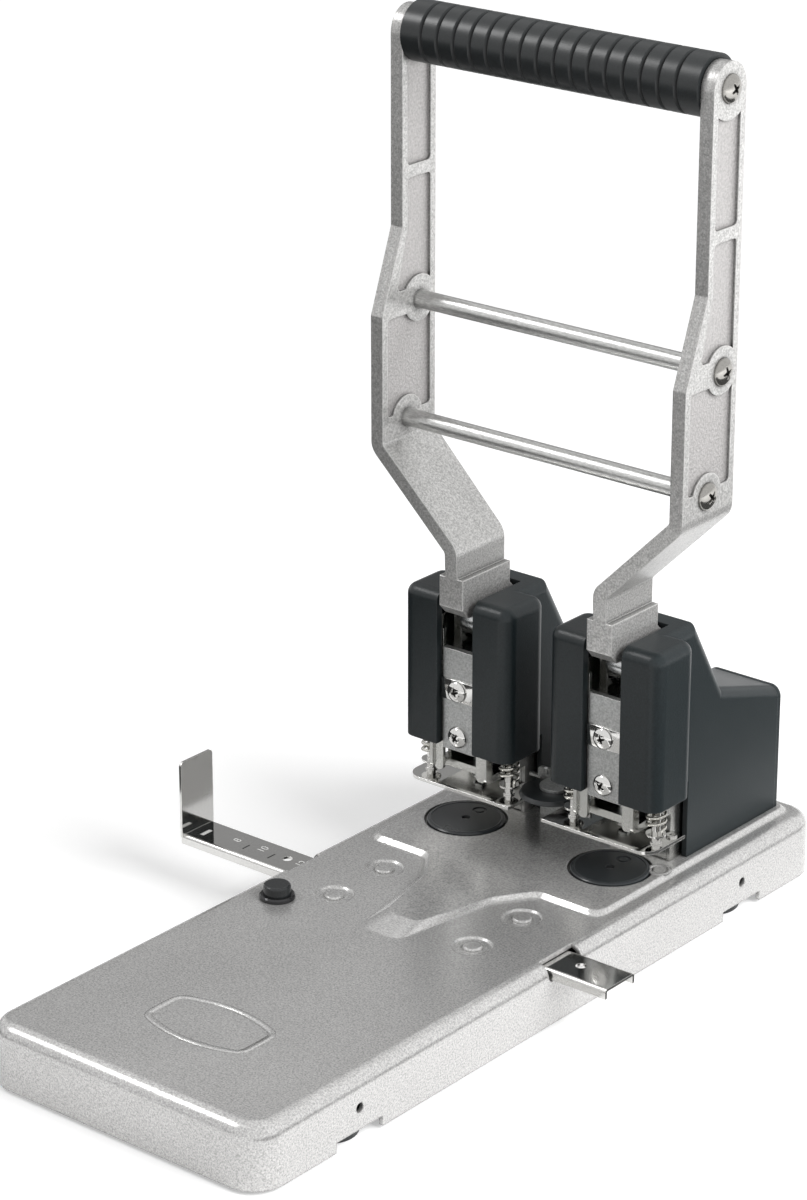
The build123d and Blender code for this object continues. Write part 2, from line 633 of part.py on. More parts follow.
with BuildPart() as guide_rivets:
    dish_floor = BASE_TOP - DISH_DEPTH
    for x, y in rivet_places:
        rod_z(x, y, SHEET_UNDER - RAIL_SHEET, dish_floor, RIVET_SHANK / 2)
        with BuildSketch(Plane.XY.offset(dish_floor)):
            with Locations((x, y)):
                Circle(RIVET_HEAD / 2)
        extrude(amount=RIVET_RISE, taper=30)
        rod_z(x, y, SHEET_UNDER - RAIL_SHEET - RIVET_TAIL, SHEET_UNDER - RAIL_SHEET,
              RIVET_SHANK / 2 + RIVET_FLARE)
save(guide_rivets.part, "guide_rivets")

# ------------------------------------------------------------------ lock button and latch
collar_low = SHEET_UNDER - COLLAR_DEPTH
latch_top = strip_low - LATCH_DROP - GAP
latch_low = latch_top - LATCH_THICK
latch_pin_z = (latch_top + latch_low) / 2
with BuildPart() as button_collar:
    rod_z(BUTTON_X, BUTTON_Y, BASE_TOP, BASE_TOP + COLLAR_RISE, COLLAR_DIA / 2)
    chamfer(button_collar.edges().group_by(Axis.Z)[-1], COLLAR_BEVEL)
    rod_z(BUTTON_X, BUTTON_Y, collar_low, BASE_TOP, BUTTON_DIA / 2 + COLLAR_WALL)
    rod_z(BUTTON_X, BUTTON_Y, collar_low, BASE_TOP + COLLAR_RISE, BUTTON_DIA / 2 + FIT, Mode.SUBTRACT)
save(button_collar.part, "button_collar")

with BuildPart() as lock_button:
    rod_z(BUTTON_X, BUTTON_Y, collar_low, BUTTON_TOP, BUTTON_DIA / 2)
    fillet(lock_button.edges().group_by(Axis.Z)[-1], BUTTON_ROUND)
    rod_z(BUTTON_X, BUTTON_Y, latch_top + GAP, collar_low, BUTTON_DIA / 4)
    rod_z(BUTTON_X, BUTTON_Y, collar_low - BUTTON_FLANGE, collar_low - GAP / 3, BUTTON_DIA / 2 + BUTTON_RIM)
save(lock_button.part, "lock_button")

latch_spring_z = pan_top + GAP
with BuildPart() as stop_latch:
    box(BUTTON_X - LATCH_WIDTH / 2, BUTTON_X + LATCH_WIDTH / 2, LATCH_PIVOT_Y,
        STRIP_Y + LATCH_TOOTH_HALF, latch_low, latch_top)
    rod_x(LATCH_PIVOT_Y, latch_pin_z, BUTTON_X - LATCH_WIDTH / 2, BUTTON_X + LATCH_WIDTH / 2, LATCH_PIN_DIA)
    rod_x(LATCH_PIVOT_Y, latch_pin_z, BUTTON_X - LATCH_WIDTH / 2, BUTTON_X + LATCH_WIDTH / 2,
          LATCH_PIN_DIA / 2 + FIT, Mode.SUBTRACT)
    box(BUTTON_X - LATCH_WIDTH / 2, BUTTON_X + LATCH_WIDTH / 2, STRIP_Y - LATCH_TOOTH_HALF,
        STRIP_Y + LATCH_TOOTH_HALF, latch_top, hollow_top - GAP)
save(stop_latch.part, "stop_latch")

bracket_half = LATCH_WIDTH / 2 + GAP + BRACKET_WALL
bracket_y0, bracket_y1 = LATCH_PIVOT_Y - BRACKET_HALF, LATCH_PIVOT_Y + BRACKET_HALF
bracket_low = latch_pin_z - BRACKET_DROP
with BuildPart() as latch_bracket:
    box(BUTTON_X - bracket_half, BUTTON_X + bracket_half, bracket_y0, bracket_y1, bracket_low, SHEET_UNDER)
    box(BUTTON_X - LATCH_WIDTH / 2 - GAP, BUTTON_X + LATCH_WIDTH / 2 + GAP, bracket_y0, bracket_y1,
        bracket_low, SHEET_UNDER - BRACKET_WALL, Mode.SUBTRACT)
    rod_x(LATCH_PIVOT_Y, latch_pin_z, BUTTON_X - bracket_half, BUTTON_X + bracket_half,
          LATCH_PIN_DIA / 2 + FIT, Mode.SUBTRACT)
save(latch_bracket.part, "latch_bracket")

with BuildPart() as latch_pin:
    rod_x(LATCH_PIVOT_Y, latch_pin_z, BUTTON_X - bracket_half - LATCH_PIN_END,
          BUTTON_X + bracket_half + LATCH_PIN_END, LATCH_PIN_DIA / 2)
save(latch_pin.part, "latch_pin")


def spring(places, z0, z1, radius, wire, turns):
    """One node of like springs, each swept as a single tube."""
    with BuildPart() as part:
        for x, y in places:
            path = coil(x, y, z0, z1, radius, wire, turns)
            with BuildSketch(Plane.XY.offset(z0)):
                with Locations((x + radius, y - wire)):
                    Circle(wire / 2)
            sweep(path=path)
    print(f"spring of {turns} turns: least gap to itself {least_gap(path, radius, wire):.2f} mm")
    return part.part


save(spring([(BUTTON_X, BUTTON_Y)], latch_spring_z, latch_low - GAP / 3, LATCH_SPRING_RADIUS, LATCH_WIRE,
            LATCH_SPRING_COILS), "latch_spring")

# ------------------------------------------------------------------ heads
cheek_in = CHEEK_HALF - FRAME_SHEET
carrier_half = cheek_in - GAP
carrier_front = FRAME_FRONT_Y + FRAME_SHEET + GAP
carrier_rear = PIN_Y + BLOCK_REAR
front_plate_y = FRAME_FRONT_Y - PLATE_PROUD
guide_top = FRAME_BOTTOM + GUIDE_THICK
guide_rear = STOP_Y - GUIDE_SHORT
floor_top = PLATEAU_TOP + SHEET
ear_low = BLOCK_TOP - EAR_ROOT
ear_inner = ROLLER_WIDTH / 2 + GAP
spring_seat = BLOCK_BOTTOM + RETURN_BORE_DEPTH
pin_seat = BLOCK_TOP - PIN_SEAT
lug_y0, lug_y1 = POST_Y - LUG_DEPTH / 2, POST_Y + LUG_DEPTH / 2
stop_rear = STOP_Y + FRAME_SHEET


def head_frame(x):
    """Plated channel: two cheeks, inturned front flanges, floor and pin guide."""
    cheek_front = FRAME_FRONT_Y - CHEEK_PROUD
    cheek = [
        (cheek_front, FRAME_BOTTOM), (STOP_Y, FRAME_BOTTOM), (STOP_Y, PLATEAU_TOP),
        (FRAME_REAR_Y, PLATEAU_TOP), (FRAME_REAR_Y, CHEEK_REAR_Z), CHEEK_BEND, (CHEEK_RIDGE_Y, FRAME_TOP),
        (cheek_front, FRAME_TOP),
    ]
    with BuildPart() as part:
        for side in (-1, 1):
            x0, x1 = sorted((x + side * cheek_in, x + side * CHEEK_HALF))
            side_profile(x0, x1, cheek, rounds=[(CHEEK_TOE, cheek[:1])])
            f0, f1 = sorted((x + side * FLANGE_INNER, x + side * cheek_in))
            with BuildSketch(Plane.XZ.offset(-FRAME_FRONT_Y)):
                flange_top = FRAME_TOP - FLANGE_DROP
                outline([(f0, FRAME_BOTTOM), (f1, FRAME_BOTTOM), (f1, flange_top), (f0, flange_top)],
                        rounds=[(FLANGE_TOE, [(f0, FRAME_BOTTOM), (f1, FRAME_BOTTOM)])])
            extrude(amount=-FRAME_SHEET)
        box(x - CHEEK_HALF, x + CHEEK_HALF, FLOOR_FRONT_Y, FRAME_REAR_Y, PLATEAU_TOP, floor_top)
        box(x - cheek_in, x + cheek_in, carrier_front + SCREW_REACH + GAP, guide_rear, FRAME_BOTTOM, guide_top)
        # windows in the cheeks, where the carrier's lugs reach the stripper posts
        box(x - CHEEK_HALF, x + CHEEK_HALF, lug_y0 - GAP, lug_y1 + GAP, guide_top,
            BLOCK_BOTTOM + LUG_THICK + 1, Mode.SUBTRACT)
        rod_z(x, PIN_Y, FRAME_BOTTOM, guide_top, PIN_DIA / 2 + FIT, Mode.SUBTRACT)
        rod_x(PIVOT_Y, PIVOT_Z, x - CHEEK_HALF, x + CHEEK_HALF, PIVOT_DIA / 2 + FIT, Mode.SUBTRACT)
        for y in BOLTS_Y:
            rod_z(x, y, PLATEAU_TOP, floor_top, BOLT_DIA / 2 + FIT, Mode.SUBTRACT)
    return part.part


def body_side(shrink, front_y, low):
    """Side view of the head behind the lobes; shrink moves its upper border inwards."""
    run = SLOPE_FOOT_Y - RIDGE_Y
    drop = HEAD_TOP - SLOPE_FOOT_Z
    slant = shrink * hypot(run, drop) / drop
    return [
        (front_y, low), (COVER_REAR_Y, low), (COVER_REAR_Y, COVER_REAR_Z - shrink),
        (SLOPE_FOOT_Y - slant + shrink * 0.3, SLOPE_FOOT_Z - shrink),
        (RIDGE_Y - slant + shrink * run / drop, HEAD_TOP - shrink), (front_y, HEAD_TOP - shrink),
    ]


def head_cover(x):
    """Black moulded shell: two lobes with a slot for the lever, and the stepped body behind."""
    with BuildPart() as cavity:
        box(x - HEAD_HALF + COVER_WALL, x + HEAD_HALF - COVER_WALL, LOBE_FRONT_Y + COVER_WALL,
            LOBE_REAR_Y - COVER_WALL, LOBE_BOTTOM, HEAD_TOP - COVER_WALL)
        chamfer(cavity.edges().group_by(Axis.Z)[-1], COVER_BEVEL)
        side_profile(x - BODY_HALF + COVER_WALL, x + BODY_HALF - COVER_WALL,
                     body_side(COVER_WALL, LOBE_REAR_Y - COVER_LAP / 2, PLATEAU_TOP))
        for side in (-1, 1):
            x0, x1 = sorted((x + side * SLOT_HALF, x + side * (SLOT_HALF + COVER_WALL)))
            box(x0, x1, LOBE_FRONT_Y, FRAME_FRONT_Y - GAP, LOBE_BOTTOM, HEAD_TOP, Mode.SUBTRACT)
    with BuildPart() as body:
        side_profile(x - BODY_HALF, x + BODY_HALF, body_side(0, LOBE_REAR_Y - COVER_LAP, LOBE_BOTTOM))
        upper = [e for f in body.faces() if f.normal_at().Z > 0.1 for e in f.edges()]
        fillet([e for e in upper if abs(abs(e.center().X - x) - BODY_HALF) < FIT], BODY_ROUND)
        box(x - BODY_HALF, x + BODY_HALF, BODY_FRONT_Y, COVER_REAR_Y, PLATEAU_TOP, LOBE_BOTTOM + COVER_STEP)
    with BuildPart() as part:
        box(x - HEAD_HALF, x + HEAD_HALF, LOBE_FRONT_Y, LOBE_REAR_Y, LOBE_BOTTOM, HEAD_TOP)
        fillet(part.edges().filter_by(Axis.Z), LOBE_ROUND)
        fillet(part.edges().group_by(Axis.Z)[-1], BODY_ROUND)
        add(body.part)
        add(cavity.part, mode=Mode.SUBTRACT)
        box(x - SLOT_HALF, x + SLOT_HALF, LOBE_FRONT_Y, SLOT_REAR_Y, LOBE_BOTTOM, HEAD_TOP + 1, Mode.SUBTRACT)
    return part.part


def rear_plate(x):
    """Flat plate that closes the head's back."""
    with BuildPart() as part:
        box(x - BODY_HALF, x + BODY_HALF, COVER_REAR_Y, COVER_REAR_Y + REAR_PLATE, PLATEAU_TOP,
            COVER_REAR_Z)
        fillet(part.edges().filter_by(Axis.Y).group_by(Axis.Z)[-1], BODY_ROUND)
    return part.part


def head_bolts(x):
    """Two socket screws that hold the frame down, through shell and stiffener."""
    with BuildPart() as part:
        for index, y in enumerate(BOLTS_Y):
            seat = floor_top + (FRAME_SHEET if index == 0 else 0)
            rod_z(x, y, stiffener_low - BOLT_END, seat, BOLT_DIA / 2)
            rod_z(x, y, seat, seat + BOLT_HEAD_HEIGHT, BOLT_HEAD / 2)
            with BuildSketch(Plane.XY.offset(seat + BOLT_HEAD_HEIGHT)):
                with Locations((x, y)):
                    RegularPolygon(SOCKET_RADIUS, 6)
            extrude(amount=-SOCKET_DEPTH, mode=Mode.SUBTRACT)
    return part.part


def paper_stop(x):
    """Angle plate that the paper's edge rests against, held by the front bolt."""
    with BuildPart() as part:
        box(x - carrier_half, x + carrier_half, STOP_Y, stop_rear, PLATEAU_TOP + GAP, FRAME_BOTTOM - GAP)
        box(x - carrier_half, x + carrier_half, STOP_Y, BOLTS_Y[0] + STOP_FOOT, floor_top,
            floor_top + FRAME_SHEET)
        rod_z(x, BOLTS_Y[0], floor_top, floor_top + FRAME_SHEET, BOLT_DIA / 2 + FIT, Mode.SUBTRACT)
    return part.part


def lever_pivot(x):
    """Riveted pin on which the lever swings."""
    with BuildPart() as part:
        rod_x(PIVOT_Y, PIVOT_Z, x - CHEEK_HALF, x + CHEEK_HALF, PIVOT_DIA / 2)
        for x0 in (x - CHEEK_HALF - PIVOT_HEAD, x + CHEEK_HALF):
            rod_x(PIVOT_Y, PIVOT_Z, x0, x0 + PIVOT_HEAD, PIVOT_DIA / 2 + PIVOT_RIM)
    return part.part


def pivot_spacers(x):
    """Bushes that keep the lever's boss in the middle of the frame."""
    with BuildPart() as part:
        for side in (-1, 1):
            x0, x1 = sorted((x + side * (CAM_WIDTH / 2 + GAP), x + side * (cheek_in - FIT)))
            rod_x(PIVOT_Y, PIVOT_Z, x0, x1, PIVOT_DIA / 2 + SPACER_WALL)
            rod_x(PIVOT_Y, PIVOT_Z, x0, x1, PIVOT_DIA / 2 + FIT, Mode.SUBTRACT)
    return part.part


def punch_carrier(x):
    """Sliding block with ears for the roller, lugs for the stripper posts and the spring's bore."""
    with BuildPart() as part:
        box(x - carrier_half, x + carrier_half, carrier_front, carrier_rear, BLOCK_BOTTOM, BLOCK_TOP)
        box(x - LUG_HALF, x + LUG_HALF, lug_y0, lug_y1, BLOCK_BOTTOM, BLOCK_BOTTOM + LUG_THICK)
        for side in (-1, 1):
            x0, x1 = sorted((x + side * ear_inner, x + side * (ear_inner + EAR_THICK)))
            box(x0, x1, PIN_Y - EAR_HALF, PIN_Y + EAR_HALF, ear_low, ROLLER_Z)
            rod_x(PIN_Y, ROLLER_Z, x0, x1, EAR_HALF)
            rod_z(x + side * POST_X, POST_Y, BLOCK_BOTTOM, BLOCK_TOP, POST_DIA / 2 + FIT, Mode.SUBTRACT)
        rod_x(PIN_Y, ROLLER_Z, x - carrier_half, x + carrier_half, ROLLER_PIN_DIA / 2 + FIT, Mode.SUBTRACT)
        spring_bore = RETURN_RADIUS + RETURN_WIRE / 2 + RETURN_CLEAR
        rod_z(x, PIN_Y, BLOCK_BOTTOM, spring_seat, spring_bore, Mode.SUBTRACT)
        rod_z(x, PIN_Y, spring_seat, pin_seat, PIN_DIA / 2 + PRESS, Mode.SUBTRACT)
        rod_z(x, PIN_Y, pin_seat, BLOCK_TOP, PIN_HEAD / 2 + FIT, Mode.SUBTRACT)
        for z in CARRIER_SCREWS_Z:
            if z > BLOCK_BOTTOM:
                rod_y(x, z, carrier_front, carrier_front + SCREW_BORE, SCREW_SHANK / 2 + FIT, Mode.SUBTRACT)
    return part.part


def carrier_plate(x):
    """Grey front plate of the carrier, between the frame's flanges."""
    half = FLANGE_INNER - GAP
    with BuildPart() as part:
        box(x - half, x + half, front_plate_y, carrier_front, PLATE_BOTTOM, PLATE_TOP)
        fillet(part.edges().filter_by(Axis.Z).group_by(Axis.Y)[0], PLATE_ROUND)
        for z in CARRIER_SCREWS_Z:
            rod_y(x, z, front_plate_y, carrier_front, SCREW_SHANK / 2 + FIT, Mode.SUBTRACT)
    return part.part


def carrier_screws(x):
    """Upper screw with its square washer, lower screw with its nut behind the plate."""
    high, low = CARRIER_SCREWS_Z
    half = FLANGE_INNER - GAP
    with BuildPart() as part:
        for z, depth in ((high, UPPER_REACH), (low, SCREW_REACH)):
            rod_y(x, z, front_plate_y - WASHER_THICK - SCREW_HEAD_HEIGHT, front_plate_y, SCREW_HEAD / 2)
            rod_y(x, z, front_plate_y, carrier_front + depth, SCREW_SHANK / 2)
        fillet(part.edges().group_by(Axis.Y)[0], SCREW_CROWN)
        box(x - half, x + half, front_plate_y - WASHER_THICK, front_plate_y, high - WASHER_HEIGHT / 2,
            high + WASHER_HEIGHT / 2)
        with BuildSketch(Plane.XZ.offset(-carrier_front)):
            with Locations((x, low)):
                RegularPolygon(NUT_RADIUS, 6)
        extrude(amount=-NUT_THICK)
    return part.part


def punch_pin(x):
    """Hollow pin: the paper plugs rise through its bore."""
    with BuildPart() as part:
        rod_z(x, PIN_Y, PIN_TIP, pin_seat, PIN_DIA / 2)
        chamfer(part.edges().group_by(Axis.Z)[0], PIN_BEVEL)
        rod_z(x, PIN_Y, pin_seat, BLOCK_TOP - PIN_SUNK, PIN_HEAD / 2)
        rod_z(x, PIN_Y, PIN_TIP, BLOCK_TOP - PIN_SUNK, PIN_BORE / 2, Mode.SUBTRACT)
    return part.part


def roller(x):
    """Hardened roller under the lever's cam."""
    with BuildPart() as part:
        rod_x(PIN_Y, ROLLER_Z, x - ROLLER_WIDTH / 2, x + ROLLER_WIDTH / 2, ROLLER_DIA / 2)
        chamfer(part.edges(), ROLLER_BEVEL)
        rod_x(PIN_Y, ROLLER_Z, x - ROLLER_WIDTH / 2, x + ROLLER_WIDTH / 2, ROLLER_PIN_DIA / 2 + FIT,
              Mode.SUBTRACT)
    return part.part


def roller_pin(x):
    """Axle of the roller, between the carrier's ears."""
    with BuildPart() as part:
        reach = ear_inner + EAR_THICK
        rod_x(PIN_Y, ROLLER_Z, x - reach, x + reach, ROLLER_PIN_DIA / 2)
    return part.part


def stripper_plate(x):
    """Plated plate that clamps the stack and strips it off the pin."""
    ends = (x - STRIPPER_INNER, x + STRIPPER_OUTER) if x > 0 else (x - STRIPPER_OUTER, x + STRIPPER_INNER)
    with BuildPart() as part:
        box(*ends, STRIPPER_FRONT_Y, STRIPPER_REAR_Y, STRIPPER_BOTTOM, STRIPPER_TOP)
        front = part.edges().filter_by(Axis.Z).group_by(Axis.Y)[0].sort_by(Axis.X)
        fillet(front[-1] if x > 0 else front[0], STRIPPER_CORNER)
        for side in (-1, 1):
            ring_x = x + side * RIVET_RING_X
            rod_z(ring_x, RIVET_RING_Y, STRIPPER_TOP, STRIPPER_TOP + RING_RISE, RING_RADIUS)
            rod_z(ring_x, RIVET_RING_Y, STRIPPER_TOP, STRIPPER_TOP + RING_RISE, RING_BORE, Mode.SUBTRACT)
            rod_z(x + side * POST_X, POST_Y, STRIPPER_BOTTOM, STRIPPER_TOP, POST_DIA / 2 + FIT,
                  Mode.SUBTRACT)
        rod_z(x, PIN_Y, STRIPPER_BOTTOM, STRIPPER_TOP, PIN_DIA / 2 + GAP, Mode.SUBTRACT)
    return part.part


post_top = BLOCK_BOTTOM + LUG_THICK + GAP
spring_foot = STRIPPER_TOP + CLIP_RISE + CLIP_THICK


def stripper_posts(x):
    """Headed posts riveted into the plate, free to rise through the carrier's lugs."""
    with BuildPart() as part:
        for side in (-1, 1):
            px = x + side * POST_X
            rod_z(px, POST_Y, STRIPPER_BOTTOM, post_top, POST_DIA / 2)
            rod_z(px, POST_Y, STRIPPER_TOP, STRIPPER_TOP + CLIP_THICK, POST_DIA / 2 + POST_FLARE)
            rod_z(px, POST_Y, STRIPPER_TOP + CLIP_RISE, spring_foot, SPRING_RADIUS + CLIP_RIM)
            rod_z(px, POST_Y, post_top, post_top + POST_HEAD, POST_DIA / 2 + POST_RIM)
    return part.part


for side, x in HEADS.items():
    save(head_frame(x), f"head_frame_{side}")
    save(head_cover(x), f"head_cover_{side}")
    save(rear_plate(x), f"rear_plate_{side}")
    save(head_bolts(x), f"head_bolts_{side}")
    save(paper_stop(x), f"paper_stop_{side}")
    save(lever_pivot(x), f"lever_pivot_{side}")
    save(pivot_spacers(x), f"pivot_spacers_{side}")
    save(punch_carrier(x), f"punch_carrier_{side}")
    save(carrier_plate(x), f"carrier_plate_{side}")
    save(carrier_screws(x), f"carrier_screws_{side}")
    save(punch_pin(x), f"punch_pin_{side}")
    save(roller(x), f"roller_{side}")
    save(roller_pin(x), f"roller_pin_{side}")
    save(stripper_plate(x), f"stripper_plate_{side}")
    save(stripper_posts(x), f"stripper_posts_{side}")
    save(spring([(x - POST_X, POST_Y), (x + POST_X, POST_Y)], spring_foot, BLOCK_BOTTOM,
                SPRING_RADIUS, WIRE, STRIPPER_COILS), f"stripper_springs_{side}")
    save(spring([(x, PIN_Y)], guide_top, spring_seat, RETURN_RADIUS, RETURN_WIRE, RETURN_COILS),
         f"return_spring_{side}")

# ------------------------------------------------------------------ lever
cam_high = ROLLER_Z + ROLLER_DIA / 2 + CAM_CLEAR - PIVOT_Z


def cam_point(angle):
    """Point of the involute cam at a swing angle, in the lever's rest position."""
    line = cam_high - CAM_BASE * radians(angle)
    turn = -radians(angle)
    y = -CAM_BASE * cos(turn) - line * sin(turn)
    z = -CAM_BASE * sin(turn) + line * cos(turn)
    return (PIVOT_Y + y, PIVOT_Z + z)


def arm_band(side):
    """Front view of the arm: straight above, slanting inwards, straight into the head."""
    t = ARM_THICK / 2
    x_low = HOLE_PITCH / 2
    knee_low = ARM_KNEE_Z - (ARM_X - x_low)
    miter = t * tan(radians(22.5))
    foot = CAM_TOP_Z - CAM_LAP
    inner = [(x_low - t, foot), (x_low - t, knee_low + miter), (ARM_X - t, ARM_KNEE_Z + miter),
             (ARM_X - t, ARM_TOP)]
    outer = [(ARM_X + t, ARM_TOP), (ARM_X + t, ARM_KNEE_Z - miter), (x_low + t, knee_low - miter),
             (x_low + t, foot)]
    inner, outer = ([(side * px, pz) for px, pz in line] for line in (inner, outer))
    outline(inner + outer, rounds=[(ARM_BEND, [inner[1], outer[1]]),
                                   (ARM_BEND - ARM_THICK, [inner[2], outer[2]])])


def pocket(points, bites, side):
    """Shallow recess in the arm's outer and inner faces, curved round the screws beside it."""
    for face in (ARM_OUTER - POCKET_DEPTH, ARM_INNER):
        x0, x1 = sorted((side * face, side * (face + POCKET_DEPTH)))
        side_profile(x0, x1, points, POCKET_ROUND, Mode.SUBTRACT, bites=bites)


def lever_arm(side):
    """Cast arm with pockets, ending in a cam that presses on the roller."""
    x = side * HOLE_PITCH / 2
    upper_front = ARM_REAR_Y - ARM_UPPER_WIDTH
    lower_front = ARM_REAR_Y - ARM_LOWER_WIDTH
    foot_front = ARM_REAR_Y - ARM_FOOT_WIDTH
    corner = ARM_UPPER_WIDTH / 2
    with BuildPart() as part:
        with BuildSketch(Plane.XZ.offset(-ARM_REAR_Y)):
            arm_band(side)
        extrude(amount=ARM_LOWER_WIDTH)
        with BuildSketch(Plane.YZ) as view:
            with BuildLine():
                Polyline((upper_front, GRIP_Z), (upper_front, TAPER_TOP_Z), (lower_front, TAPER_FOOT_Z),
                         (lower_front, ARM_KNEE_Z), (foot_front, CAM_TOP_Z),
                         (foot_front, CAM_TOP_Z - CAM_LAP), (ARM_REAR_Y, CAM_TOP_Z - CAM_LAP),
                         (ARM_REAR_Y, GRIP_Z))
                ThreePointArc((ARM_REAR_Y, GRIP_Z), (ARM_REAR_Y - corner, ARM_TOP), (upper_front, GRIP_Z))
            make_face()
        extrude(amount=side * (ARM_OUTER + 1), mode=Mode.INTERSECT)
        # cam boss inside the head
        with BuildSketch(Plane.YZ.offset(x - CAM_WIDTH / 2)):
            with BuildLine():
                heel, back, top = ((PIVOT_Y + y, PIVOT_Z + z) for y, z in CAM_HEEL)
                chin_y, chin_drop = CAM_CHIN
                Polyline(cam_point(SWING + CAM_SPARE), heel, (PIVOT_Y + PIVOT_BOSS, PIVOT_Z), back, top,
                         (ARM_REAR_Y, HEAD_TOP), (ARM_REAR_Y, CAM_TOP_Z), (foot_front, CAM_TOP_Z),
                         (foot_front, CAM_TOP_Z - chin_drop), (foot_front + chin_y, cam_point(0)[1]),
                         cam_point(0))
                Spline(*[cam_point(a) for a in range(0, int(SWING) + CAM_SPARE + 1, 10)])
            make_face()
            with Locations((PIVOT_Y, PIVOT_Z)):
                Circle(PIVOT_BOSS)
        extrude(amount=CAM_WIDTH)
        rod_x(PIVOT_Y, PIVOT_Z, x - CAM_WIDTH, x + CAM_WIDTH, PIVOT_DIA / 2 + FIT, Mode.SUBTRACT)
        for y, z in ((GRIP_Y, GRIP_Z), ROD_UPPER, ROD_LOWER):
            x0, x1 = sorted((side * (ARM_INNER - 1), side * (ARM_OUTER + 1)))
            rod_x(y, z, x0, x1, ARM_SCREW_SHANK / 2 + FIT, Mode.SUBTRACT)
        in_front = upper_front + POCKET_MARGIN
        in_rear = ARM_REAR_Y - POCKET_MARGIN
        low_front = lower_front + POCKET_MARGIN
        by_grip, above_rod, below_rod, by_low = (
            (y, z, r) for (y, z), r in zip(((GRIP_Y, GRIP_Z), ROD_UPPER, ROD_UPPER, ROD_LOWER), POCKET_CLEAR))
        (top_z0, top_z1), (mid_z0, mid_z1), (low_z0, low_z1) = POCKETS_Z
        step, step_z = POCKET_STEP
        pocket([(in_front, top_z0), (in_rear, top_z0), (in_rear, top_z1), (in_front, top_z1)], [by_grip], side)
        pocket([(in_front - step, mid_z0), (in_rear, mid_z0), (in_rear, mid_z1), (in_front, mid_z1),
                (in_front, step_z)], [above_rod], side)
        pocket([(low_front, low_z0), (in_rear, low_z0), (in_rear, low_z1), (low_front, low_z1)],
               [below_rod, by_low], side)
    return part.part


for name, side in (("left", -1), ("right", 1)):
    save(lever_arm(side), f"lever_arm_{name}")

for name, (y, z) in (("upper", ROD_UPPER), ("lower", ROD_LOWER)):
    with BuildPart() as cross_rod:
        rod_x(y, z, -ARM_INNER, ARM_INNER, ROD_DIA / 2)
        for x0, x1 in ((-ARM_INNER, ROD_BORE - ARM_INNER), (ARM_INNER - ROD_BORE, ARM_INNER)):
            rod_x(y, z, x0, x1, ARM_SCREW_SHANK / 2 + FIT, Mode.SUBTRACT)
    save(cross_rod.part, f"cross_rod_{name}")

with BuildPart() as grip_tube:
    rod_x(GRIP_Y, GRIP_Z, -ARM_INNER, ARM_INNER, GRIP_TUBE_DIA / 2)
    for x0, x1 in ((-ARM_INNER, TUBE_BORE - ARM_INNER), (ARM_INNER - TUBE_BORE, ARM_INNER)):
        rod_x(GRIP_Y, GRIP_Z, x0, x1, ARM_SCREW_SHANK / 2 + FIT, Mode.SUBTRACT)
save(grip_tube.part, "grip_tube")

grip_half = ARM_INNER - GAP
rib_pitch = 2 * (grip_half - GRIP_END) / GRIP_RIBS
bore_z = GRIP_Z + GRIP_TUBE_DIA / 2 + FIT
crest_z = GRIP_Z + GRIP_DIA / 2
with BuildPart() as grip_sleeve:
    with BuildSketch(Plane.XZ.offset(-GRIP_Y)):
        with BuildLine():
            border = [(-grip_half, bore_z), (-grip_half, crest_z)]
            for rib in range(1, GRIP_RIBS):
                groove = -grip_half + GRIP_END + rib * rib_pitch
                border += [(groove - GROOVE_HALF, crest_z), (groove, crest_z - GRIP_GROOVE),
                           (groove + GROOVE_HALF, crest_z)]
            border += [(grip_half, crest_z), (grip_half, bore_z)]
            Polyline(*border, close=True)
        make_face()
    revolve(axis=Axis((0, GRIP_Y, GRIP_Z), (1, 0, 0)))
save(grip_sleeve.part, "grip_sleeve")

with BuildPart() as arm_screws:
    for side in (-1, 1):
        for y, z in ((GRIP_Y, GRIP_Z), ROD_UPPER, ROD_LOWER):
            head = sorted((side * ARM_OUTER, side * (ARM_OUTER + ARM_SCREW_RISE)))
            shank = sorted((side * (ARM_INNER - ARM_SCREW_REACH), side * ARM_OUTER))
            rod_x(y, z, *head, ARM_SCREW_HEAD / 2)
            rod_x(y, z, *shank, ARM_SCREW_SHANK / 2)
    crowns = arm_screws.edges().filter_by(GeomType.CIRCLE).group_by(Axis.X)
    fillet(crowns[0] + crowns[-1], ARM_SCREW_CROWN)
save(arm_screws.part, "arm_screws")
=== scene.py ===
"""Dressed view of the two-hole punch: studio, camera, finishes and the small forms the frame lacks."""
import bpy
import bmesh
import json
from math import cos, pi, radians, sin, sqrt
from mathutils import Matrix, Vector


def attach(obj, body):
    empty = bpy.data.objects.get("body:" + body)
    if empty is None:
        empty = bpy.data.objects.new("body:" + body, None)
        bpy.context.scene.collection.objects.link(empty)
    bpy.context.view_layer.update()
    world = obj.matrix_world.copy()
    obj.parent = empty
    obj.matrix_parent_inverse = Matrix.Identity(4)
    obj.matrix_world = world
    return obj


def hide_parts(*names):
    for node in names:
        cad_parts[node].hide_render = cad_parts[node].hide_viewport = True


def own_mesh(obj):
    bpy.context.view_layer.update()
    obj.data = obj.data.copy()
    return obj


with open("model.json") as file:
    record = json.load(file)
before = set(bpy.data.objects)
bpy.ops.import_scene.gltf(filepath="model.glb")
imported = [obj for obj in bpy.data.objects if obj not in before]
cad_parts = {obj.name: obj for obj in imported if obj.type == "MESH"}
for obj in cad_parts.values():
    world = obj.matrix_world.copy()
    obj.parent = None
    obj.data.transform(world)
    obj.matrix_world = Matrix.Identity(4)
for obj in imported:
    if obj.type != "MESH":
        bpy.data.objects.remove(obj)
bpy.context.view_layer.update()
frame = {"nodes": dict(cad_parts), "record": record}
MM = 0.001
HEADS = {"left": -40.0, "right": 40.0}

